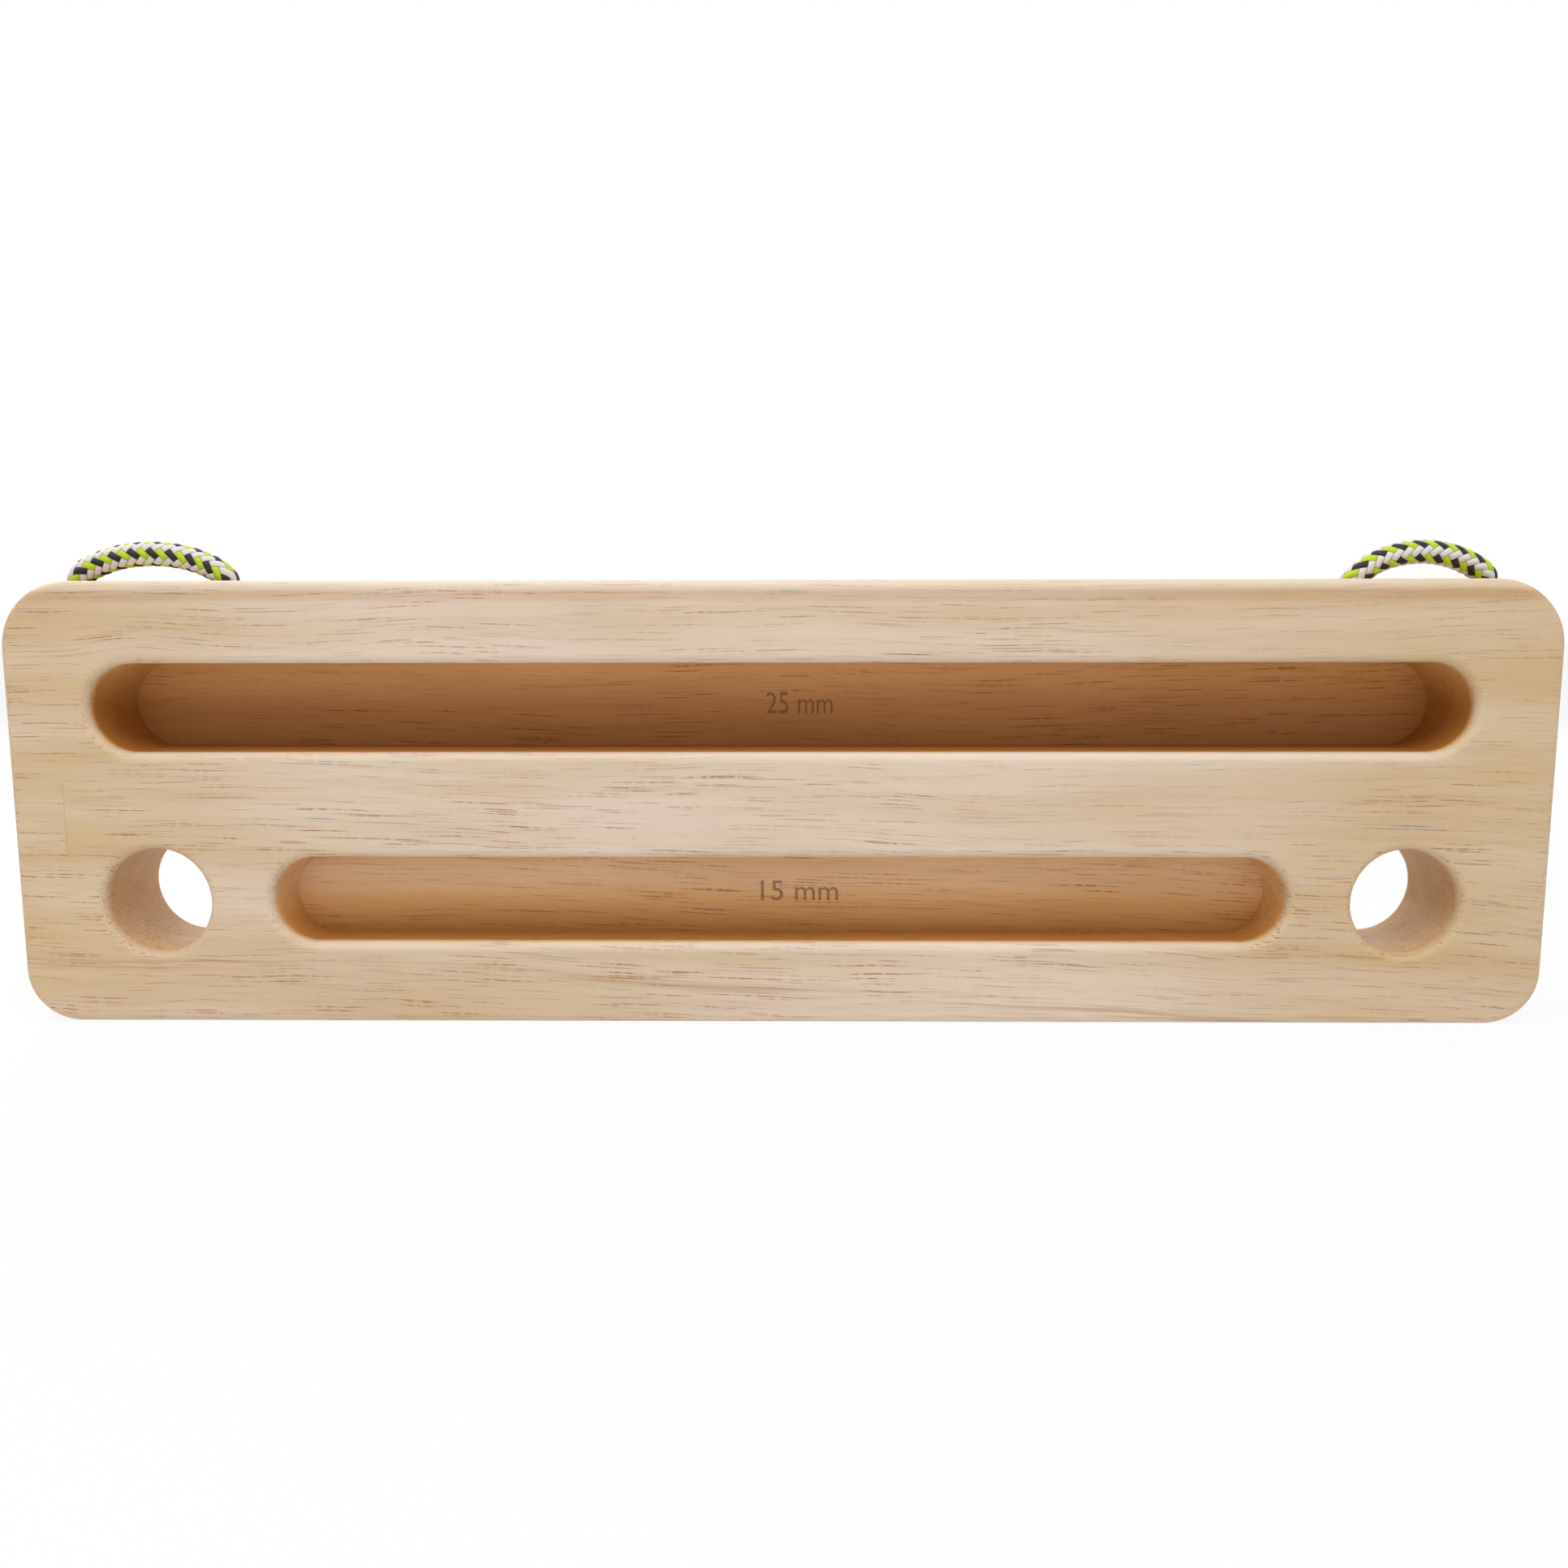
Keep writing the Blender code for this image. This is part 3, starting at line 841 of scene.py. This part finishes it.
    def cord_hole_tool(self, side: Side, hole: Hole) -> Item:
        """Make the tool of a slanted cord hole, whose mouths flare as rounded edges do.

        Args:
            side: The board's end.
            hole: The hole.

        Returns:
            The tool.
        """
        top, back = self.cord_hole_ends(side, hole)
        along = (back - top).normalized()
        across = along.cross(Vector((1, 0, 0)))
        steps, flare = self.edge_segments, self.cord_mouth_radius
        turns = [math.pi / 2 * step / steps for step in range(steps + 1)]
        profile = [(flare, -self.overshoot)]
        profile += [(flare * (1 - math.sin(t)), flare * (1 - math.cos(t)) - self.mouth_lift)
                    for t in turns]
        up, rear = Vector((0, 0, 1)), Vector((0, 1, 0))
        sections = [(extra, top - up * depth, up) for extra, depth in profile]
        sections += [(extra, back - rear * depth, rear) for extra, depth in reversed(profile)]
        loft, rings = bmesh.new(), []
        for extra, level, normal in sections:
            ring = bmesh.ops.create_circle(loft, segments=self.round_segments // 2,
                                           radius=1.0)["verts"]
            for vertex in ring:
                spoke = Vector((1, 0, 0)) * vertex.co.x + across * vertex.co.y
                start = top + spoke * (self.cord_hole_diameter / 2 + extra)
                vertex.co = start + along * (level - start).dot(normal) / along.dot(normal)
            rings.append(ring)
        return closed_loft("cord_hole_tool", loft, rings)

    def round_outward_edges(self, item: Item) -> None:
        """Round every sharp edge that stands outward.

        Args:
            item: The board, with its slots and grip holes cut.
        """
        with reworked(item.data) as shape:
            bmesh.ops.dissolve_limit(shape, angle_limit=self.flat_enough,
                                     verts=shape.verts, edges=shape.edges)
            sharp = [edge for edge in shape.edges
                     if edge.is_convex and edge.calc_face_angle(0) > self.sharp_edge]
            bmesh.ops.bevel(shape, geom=sharp, offset=self.edge_radius,
                            segments=self.edge_segments, profile=0.5, affect="EDGES",
                            clamp_overlap=False, material=-1)

    def mend(self, item: Item) -> None:
        """Merge points that all but touch, and close what that or a cut left open.

        Args:
            item: The board, with all of its cuts.
        """
        with reworked(item.data) as shape:
            bmesh.ops.dissolve_degenerate(shape, dist=MERGE_DISTANCE, edges=shape.edges)
            close_holes(shape)

    def build(self) -> Item:
        """Cut, round and dress the board.

        Returns:
            The board's piece.
        """
        board = solid_object("wooden_board", self.blank())
        tools = [self.slot_tool(slot) for slot in self.slots]
        cut(board, tools + [self.grip_hole_tool(side) for side in Side])
        self.round_outward_edges(board)
        cut(board, [self.cord_hole_tool(side, hole) for side in Side for hole in Hole])
        arrises = [(self.height, self.length / 2)]
        arrises += [(slot.level - slot.height / 2, self.length / 2 - slot.end_wall)
                    for slot in self.slots]
        size = (self.length, self.thickness, self.height, tuple(arrises))
        board.data.materials.append(Rubberwood(*size).material())
        char = Rubberwood(*size, name="burnt_mark", charring=self.mark_charring).material()
        marks = [slot.mark.tool(self.front + slot.depth, slot.level) for slot in self.slots]
        for item in (*marks, board):
            item.data.materials.append(char)
        cut(board, marks)
        self.mend(board)
        board.data.shade_smooth()
        board.data.set_sharp_from_angle(angle=SMOOTH_ANGLE)
        board.modifiers.new("even_normals", "WEIGHTED_NORMAL").keep_sharp = True
        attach(board, "board")
        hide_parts("board")
        return board


def gaps_along(line: Points) -> Points:
    """Give the distance from each point of a line to the next."""
    return np.linalg.norm(np.diff(line, axis=0), axis=1)


def even_points(line: Points, spacing: float) -> Points:
    """Resample a line at an even spacing, both of its ends kept.

    Args:
        line: The line's points.
        spacing: The distance between new points.

    Returns:
        The new points.
    """
    reach = np.concatenate([[0], np.cumsum(gaps_along(line))])
    wanted = np.linspace(0, reach[-1], max(2, round(reach[-1] / spacing) + 1))
    return np.stack([np.interp(wanted, reach, line[:, axis]) for axis in range(3)], axis=1)


def smooth_curve(points: Points, steps_between: int = 24) -> Points:
    """Draw a natural cubic curve through points.

    Args:
        points: The points that the curve passes through.
        steps_between: How many steps it takes from one point to the next.

    Returns:
        The curve's dense points.
    """
    knots = np.concatenate([[0], np.cumsum(gaps_along(points))])
    steps = np.diff(knots)
    count = len(points)
    matrix = np.eye(count)
    right = np.zeros_like(points)
    for i in range(1, count - 1):
        matrix[i, i - 1:i + 2] = (steps[i - 1], 2 * (steps[i - 1] + steps[i]), steps[i])
        right[i] = 6 * ((points[i + 1] - points[i]) / steps[i]
                        - (points[i] - points[i - 1]) / steps[i - 1])
    bends = np.linalg.solve(matrix, right)
    fine = []
    for i, step in enumerate(steps):
        for share in np.linspace(0, 1, steps_between, endpoint=i == count - 2):
            far, near = share * step, (1 - share) * step
            fine.append((bends[i] * near ** 3 + bends[i + 1] * far ** 3) / (6 * step)
                        + (points[i] / step - bends[i] * step / 6) * near
                        + (points[i + 1] / step - bends[i + 1] * step / 6) * far)
    return np.array(fine)


@dataclass(frozen=True)
class OverhandKnot:
    """An overhand knot, pulled tight from a loose one by the same steps as in the CAD model."""

    diameter: float
    cord_length: float = 0.108
    strand_gap: float = 0.0007
    points: int = 54
    spread: Place3 = (0.49, 0.43, 0.21)
    reach: float = 2.12
    rounds: int = 1000
    tightening_share: float = 0.8
    smoothing: float = 0.3
    length_steps: int = 6
    contact_steps: int = 3
    neighbour_reach: float = 1.6
    end_points: int = 3
    end_centring: float = 0.7

    def loose(self) -> Points:
        """Make a wide open overhand knot.

        Returns:
            Its evenly spaced points.
        """
        turn = np.linspace(self.reach, -self.reach, self.points)
        line = np.stack([turn ** 3 - 3 * turn,
                         turn ** 4 - 4 * turn ** 2 + 2,
                         turn ** 5 - 10 * turn], axis=1) * np.array(self.spread) * self.diameter
        return even_points(line, gaps_along(line).sum() / (self.points - 1))

    def keep_spacing(self, line: Points, spacing: float) -> None:
        """Move the points along the line until neighbours are one spacing apart.

        Args:
            line: The points, which are moved.
            spacing: The distance.
        """
        for _ in range(self.length_steps):
            gaps = line[1:] - line[:-1]
            sizes = np.linalg.norm(gaps, axis=1, keepdims=True)
            shift = gaps * (sizes - spacing) / sizes / 2
            line[:-1] += shift
            line[1:] -= shift

    def keep_apart(self, line: Points, first: Points, second: Points) -> None:
        """Push strands that touch away from each other.

        Args:
            line: The points, which are moved.
            first: The numbers of the first points of the pairs that may touch.
            second: The numbers of their second points.
        """
        apart = self.diameter + self.strand_gap
        for _ in range(self.contact_steps):
            gaps = line[second] - line[first]
            sizes = np.linalg.norm(gaps, axis=1)
            close = sizes < apart
            shift = gaps[close] * ((apart - sizes[close]) / sizes[close] / 4)[:, None]
            np.add.at(line, first[close], -shift)
            np.add.at(line, second[close], shift)

    def line(self) -> Points:
        """Pull the knot tight.

        Returns:
            Its centre line from its top end down, starting at the origin.
        """
        line = self.loose()
        loose = gaps_along(line).mean()
        tight = self.cord_length / (self.points - 1)
        neighbours = math.ceil(self.neighbour_reach * self.diameter / tight)
        first, second = np.triu_indices(self.points, neighbours)
        for step in range(self.rounds):
            pulled = min(1, step / (self.tightening_share * self.rounds))
            line[1:-1] += self.smoothing * ((line[:-2] + line[2:]) / 2 - line[1:-1])
            self.keep_spacing(line, loose + (tight - loose) * pulled)
            self.keep_apart(line, first, second)
            line[:self.end_points, :2] *= self.end_centring
            line[-self.end_points:, :2] *= self.end_centring
        if line[0, 2] < line[-1, 2]:
            line = line[::-1]
        return line - line[0]


@dataclass(frozen=True)
class Rings:
    """A tube's rings: their middles, and two directions square to the line at each."""

    middles: Points
    first: Points
    second: Points

    @classmethod
    def along(cls, line: Points, row: int, start: Place3) -> "Rings":
        """Carry the directions along a line without twist, both ways from one ring.

        Args:
            line: The middles.
            row: The ring that they are carried from.
            start: The first direction at that ring.

        Returns:
            The rings.
        """
        ahead = np.gradient(line, axis=0)
        ahead /= np.linalg.norm(ahead, axis=1, keepdims=True)
        first = np.empty_like(line)
        for rows in (range(row, len(line)), range(row, -1, -1)):
            now = np.array(start)
            for i in rows:
                now = now - ahead[i] * now.dot(ahead[i])
                now = now / np.linalg.norm(now)
                first[i] = now
        return cls(line, first, np.cross(ahead, first))

    def stretch(self, start: int, end: int) -> "Rings":
        """Give the rings from one number to another, both kept."""
        span = slice(start, end + 1)
        return Rings(self.middles[span], self.first[span], self.second[span])


@dataclass(frozen=True)
class Braid:
    """A braid of sixteen strands, two over and two under, seen as columns of plaits."""

    diameter: float = 0.007
    columns: int = 8
    pitch: float = 0.00288
    cuts: int = 8
    crease_depth: float = 0.0006
    proud: float = 0.0002
    tip_length: float = 0.0022
    tip_crease: float = 0.6
    tip_smoothing: float = 3.0
    tip_reach: float = 0.93
    tip_roundness: float = 2.4

    @property
    def spacing(self) -> float:
        """The distance between two rings of the mesh."""
        return self.pitch / self.cuts

    def height(self, u: Points, v: Points) -> Points:
        """Give how high the sheath stands, from 0 in a crease to 1 on a plait's crown.

        Args:
            u: Columns round the cord.
            v: Plaits along the cord.

        Returns:
            The heights.
        """
        *_, across, along = plait(u, v, np.round,
                                  lambda under, first, second: np.where(under, second, first))
        crown = np.sqrt(np.clip(1 - (2 * across) ** 2, 0, 1))
        return crown * (1 - 0.75 * np.abs(along) ** 4)

    def tube(self, name: str, rings: Rings, shift: tuple[float, float],
             tip_row: int | None) -> Item:
        """Make one closed stretch of the sheath.

        Args:
            name: The piece's name.
            rings: The stretch's rings.
            shift: The column that looks along the first direction, and the first ring's plait.
            tip_row: The row, 0 or -1, where a melted tip closes it, or None.

        Returns:
            The piece.
        """
        around, rows = self.columns * self.cuts, len(rings.middles) - 1
        grid = bmesh.new()
        bmesh.ops.create_grid(grid, x_segments=around, y_segments=rows, size=1.0, calc_uvs=False)
        item = solid_object(name, grid)
        mesh = item.data
        places = np.empty(len(mesh.vertices) * 3, np.float32)
        mesh.vertices.foreach_get("co", places)
        places = places.reshape(-1, 3)
        column = np.round((places[:, 0] + 1) / 2 * around)
        row = np.round((places[:, 1] + 1) / 2 * rows).astype(int)
        u, v = column / self.cuts + shift[0], row / self.cuts + shift[1]
        radius = self.diameter / 2 + self.proud - self.crease_depth * (1 - self.height(u, v))
        if tip_row is not None:
            from_tip = (row if tip_row == 0 else rows - row) * self.spacing
            share = np.clip(1 - from_tip / self.tip_length, 0, 1)
            smooth = self.diameter / 2 - self.crease_depth * self.tip_crease
            radius += (smooth - radius) * np.clip(share * self.tip_smoothing, 0, 1)
            radius *= np.sqrt(np.clip(1 - (share * self.tip_reach) ** self.tip_roundness, 0, 1))
        turn = column / around * math.tau
        spokes = (rings.first[row] * np.cos(turn)[:, None]
                  + rings.second[row] * np.sin(turn)[:, None])
        mesh.vertices.foreach_set("co", (rings.middles[row] + spokes * radius[:, None]).ravel())
        corners = np.empty(len(mesh.loops), np.int32)
        mesh.loops.foreach_get("vertex_index", corners)
        braid_map = mesh.uv_layers.new(name="braid")
        braid_map.data.foreach_set("uv", np.stack([u[corners], v[corners]], axis=1).ravel())
        with reworked(mesh) as shape:
            close_holes(shape)
            bmesh.ops.recalc_face_normals(shape, faces=shape.faces)
        mesh.shade_smooth()
        return item


@dataclass(frozen=True)
class Arch:
    """The line of a cord's arch over the top face, from its outer foot to its inner one.

    Insets are measured from the board's end, rises from its top face, and setbacks from the
    middles of the holes' mouths. The front plait is what the apex shows to the front.
    """

    insets: tuple[float, ...]
    rises: tuple[float, ...]
    front_plait: tuple[float, float]
    setbacks: tuple[float, ...] = (0.0006, 0.0002, 0.0, 0.0, 0.0, 0.0002, 0.0006)
    apex: int = 3


ARCHES = {
    Side.LEFT: Arch((0.0168, 0.0231, 0.0313, 0.0397, 0.0481, 0.0560, 0.0616),
                    (0.0010, 0.0054, 0.0078, 0.0085, 0.0077, 0.0052, 0.0010), (0.25, -0.32)),
    Side.RIGHT: Arch((0.0172, 0.0222, 0.0292, 0.0365, 0.0435, 0.0503, 0.0556),
                     (0.0010, 0.0050, 0.0076, 0.0085, 0.0077, 0.0053, 0.0010), (1.25, 1.69)),
}


@dataclass
class SideCord:
    """One cord: its arch over the top face, two legs through the board, and two knots.

    The slack is measured back from the back face and down from the back mouth, and how far it
    drops in the end depends on the hole.
    """

    side: Side
    board: Board
    braid: Braid
    knot: Points
    sheath: bpy.types.Material
    tip: bpy.types.Material
    touch_gap: float = 0.0003
    hole_shares: tuple[float, ...] = (0.30, 0.65, 1.0)
    slack: tuple[tuple[float, float], ...] = ((0.0052, 0.0052), (0.0095, 0.0105),
                                              (0.0118, 0.0170))
    slack_reach: float = 0.0122
    slack_drops: tuple[float, float] = (0.0250, 0.0300)
    bend_reach: float = 0.004

    def __post_init__(self) -> None:
        """Take the side's arch."""
        self.arch = ARCHES[self.side]

    def arch_route(self) -> list[Vector]:
        """Place the arch's route points in the frame.

        Returns:
            The points, from the outer foot to the inner one.
        """
        mouth = self.board.front + self.board.cord_hole_setback
        return [Vector((self.board.in_from_end(self.side, inset), mouth + back,
                        self.board.height + up))
                for inset, back, up in zip(self.arch.insets, self.arch.setbacks, self.arch.rises)]

    def leg_route(self, hole: Hole) -> list[Vector]:
        """Place a leg's route points in the frame.

        Args:
            hole: The leg's hole.

        Returns:
            The points, from the hole down to the knot.
        """
        top, back = self.board.cord_hole_ends(self.side, hole)
        slack = (*self.slack, (self.slack_reach, self.slack_drops[hole.value]))
        return ([top.lerp(back, share) for share in self.hole_shares]
                + [back + Vector((0, behind, -down)) for behind, down in slack])

    def knot_route(self, hole: Hole) -> list[Vector]:
        """Place a knot's points in the frame, below the end of its leg."""
        end = self.leg_route(hole)[-1] - Vector((0, 0, self.touch_gap))
        return [Vector((end.x + self.side.value * x, end.y + y, end.z + z))
                for x, y, z in self.knot]

    def build(self) -> list[Item]:
        """Build the cord's two halves, which meet on top of the arch, and its two knots.

        Returns:
            The pieces.
        """
        outer, inner = ([*self.leg_route(hole), *self.knot_route(hole)] for hole in Hole)
        route = [*outer[::-1], *self.arch_route(), *inner]
        curve = smooth_curve(np.array([tuple(point) for point in route]))
        line = even_points(curve, self.braid.spacing)
        apex, start, end = (self.ring_at(line, place) for place in (
            self.arch_route()[self.arch.apex], *(self.leg_route(hole)[-1] for hole in Hole)))
        rings = Rings.along(line, apex, (0.0, -1.0, 0.0))
        pieces = []
        for hole, half_span, knot_span, tip_row in (
                (Hole.OUTER, (start, apex), (0, start), 0),
                (Hole.INNER, (apex, end), (end, len(line) - 1), -1)):
            name = f"{self.side.label}_{hole.label}_cord"
            half = self.piece(name, rings, half_span, apex)
            knot = self.piece(f"{name}_knot", rings, knot_span, apex, tip_row)
            self.declare(hole, half, knot, rings.stretch(*half_span).middles)
            pieces += [half, knot]
        return pieces

    def ring_at(self, line: Points, place: Vector) -> int:
        """Give the number of the ring that is nearest to a place."""
        return int(np.linalg.norm(line - np.array(place), axis=1).argmin())

    def piece(self, name: str, rings: Rings, span: tuple[int, int], apex: int,
              tip_row: int | None = None) -> Item:
        """Make and dress the stretch between two rings.

        Args:
            name: The piece's name.
            rings: The whole cord's rings.
            span: The first ring and the last.
            apex: The ring on top of the arch.
            tip_row: Where a melted tip closes it, 0 or -1, or None.

        Returns:
            The piece.
        """
        column, first_plait = self.arch.front_plait
        shift = (column, first_plait + (span[0] - apex) / self.braid.cuts)
        made = self.braid.tube(name, rings.stretch(*span), shift, tip_row)
        made.data.materials.append(self.sheath)
        if tip_row is not None:
            made.data.materials.append(self.tip)
            end_point = Vector(rings.middles[tip_row])
            for face in made.data.polygons:
                if (face.center - end_point).length < self.braid.diameter / 2:
                    face.material_index = 1
        return made

    def declare(self, hole: Hole, half: Item, knot: Item, path: Points) -> None:
        """Hide the CAD nodes that the pieces stand for, bake the half's place into its mesh and
        hang the knot on the board.

        Args:
            hole: The half's hole.
            half: The stretch from the arch's top to the knot.
            knot: The knot.
            path: The stretch's ring middles.
        """
        node = f"{self.side.label}_{hole.label}"
        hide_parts(f"{self.side.label}_cord_arch", f"{node}_cord_leg")
        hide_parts(f"{node}_knot")
        foot = self.arch_route()[0 if hole is Hole.OUTER else -1]
        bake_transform(half)
        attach(knot, "board")
        exit_point, length = path[-1 if hole is Hole.OUTER else 0], float(gaps_along(path).sum())
        tuple(exit_point)


@dataclass(frozen=True)
class Softbox:
    """A soft lamp that the camera doesn't see, with its power in watts."""

    name: str
    place: Place3
    aim: Place3
    size: tuple[float, float]
    power: float

    def hang(self) -> None:
        """Put the lamp into the scene."""
        data = bpy.data.lights.new(self.name, "AREA")
        data.shape = "RECTANGLE"
        data.size, data.size_y = self.size
        data.energy = self.power
        item = scene_object(self.name, data)
        item.location = self.place
        item.rotation_mode = "QUATERNION"
        item.rotation_quaternion = (Vector(self.aim) - item.location).to_track_quat("-Z", "Y")
        item.visible_camera = False


@dataclass
class Studio:
    """The plain pale floor, the soft lamps and the camera at the photograph's viewing angle.

    The floor glows with the first strength to the camera, and with the second to all else.
    """

    picture_width: float = 1932.0
    focal_pixels: float = 1552.1
    sensor: float = 36.0
    clipping: tuple[float, float] = (0.01, 50.0)
    camera_place: Place3 = (0.0063, -0.3886, 0.1212)
    pitch: float = math.radians(-7.33)
    yaw: float = 0.0119
    roll: float = -0.0014
    lamps: tuple[Softbox, ...] = (
        Softbox("overhead_softbox", (0.0, -0.45, 1.3), (0.0, 0.0, 0.05), (1.6, 0.9), 14.0),
        Softbox("front_softbox", (0.0, -1.7, 0.5), (0.0, 0.0, 0.07), (1.8, 1.0), 3.8),
        Softbox("back_softbox", (0.0, 0.9, 0.55), (0.0, 0.0, 0.05), (2.0, 0.8), 6.5),
        Softbox("rim_softbox", (-0.7, 0.35, 0.75), (-0.15, 0.0, 0.13), (0.5, 0.5), 3.0))
    floor_size: float = 6.0
    floor_colour: Colour = (0.86, 0.86, 0.86)
    floor_glow: tuple[float, float] = (0.90, 0.12)
    world_strength: float = 0.28

    def camera(self) -> None:
        """Place the camera that took the photograph."""
        data = bpy.data.cameras.new("camera")
        data.sensor_fit = "HORIZONTAL"
        data.sensor_width = self.sensor
        data.lens = self.focal_pixels / self.picture_width * self.sensor
        data.clip_start, data.clip_end = self.clipping
        item = scene_object("camera", data)
        turn = (Matrix.Rotation(self.yaw, 3, "Z")
                @ Matrix.Rotation(math.pi / 2 + self.pitch, 3, "X")
                @ Matrix.Rotation(self.roll, 3, "Z"))
        item.matrix_world = Matrix.Translation(self.camera_place) @ turn.to_4x4()
        bpy.context.scene.camera = item

    def floor(self) -> None:
        """Lay a wide pale floor that keeps the board's shadow and shows almost white."""
        shape = bmesh.new()
        bmesh.ops.create_grid(shape, x_segments=8, y_segments=8, size=self.floor_size)
        item = solid_object("floor", shape)
        desk = ShaderDesk(bpy.data.materials.new("pale_floor"))
        matt = desk.add("ShaderNodeBsdfDiffuse", None, {"Color": self.floor_colour})
        glow = desk.add("ShaderNodeEmission", None, {"Color": WHITE, "Strength": 1.0})
        to_camera, to_others = self.floor_glow
        share = desk.seen() * (to_camera - to_others) + to_others
        mixed = desk.add("ShaderNodeMixShader", None, {0: share, 1: matt, 2: glow})
        item.data.materials.append(desk.close("Material", mixed))

    def world(self) -> None:
        """Light the scene evenly from all round, before a white background."""
        desk = ShaderDesk(bpy.data.worlds.new("studio"))
        soft, white = (
            desk.add("ShaderNodeBackground", None, {"Color": WHITE, "Strength": strength})
            for strength in (self.world_strength, 1.0))
        mixed = desk.add("ShaderNodeMixShader", None, {0: desk.seen(), 1: soft, 2: white})
        bpy.context.scene.world = desk.close("World", mixed)

    def build(self) -> None:
        """Set up the studio."""
        self.camera()
        for lamp in self.lamps:
            lamp.hang()
        self.floor()
        self.world()
        bpy.context.scene.view_settings.view_transform = "Standard"


def main() -> None:
    """Build the studio, the board and the two cords, and report each piece."""
    logging.basicConfig(level=logging.INFO, format="%(name)s: %(message)s")
    Studio().build()
    board, braid = Board(), Braid()
    pieces = [board.build()]
    knot = OverhandKnot(braid.diameter).line()
    sheath, tip = BraidedSheath().material(), MeltedTip().material()
    for side in Side:
        pieces += SideCord(side, board, braid, knot, sheath, tip).build()
    for piece in pieces:
        LOG.info("%s: %d faces", piece.name, len(piece.data.polygons))


if __name__ == "__main__":
    main()
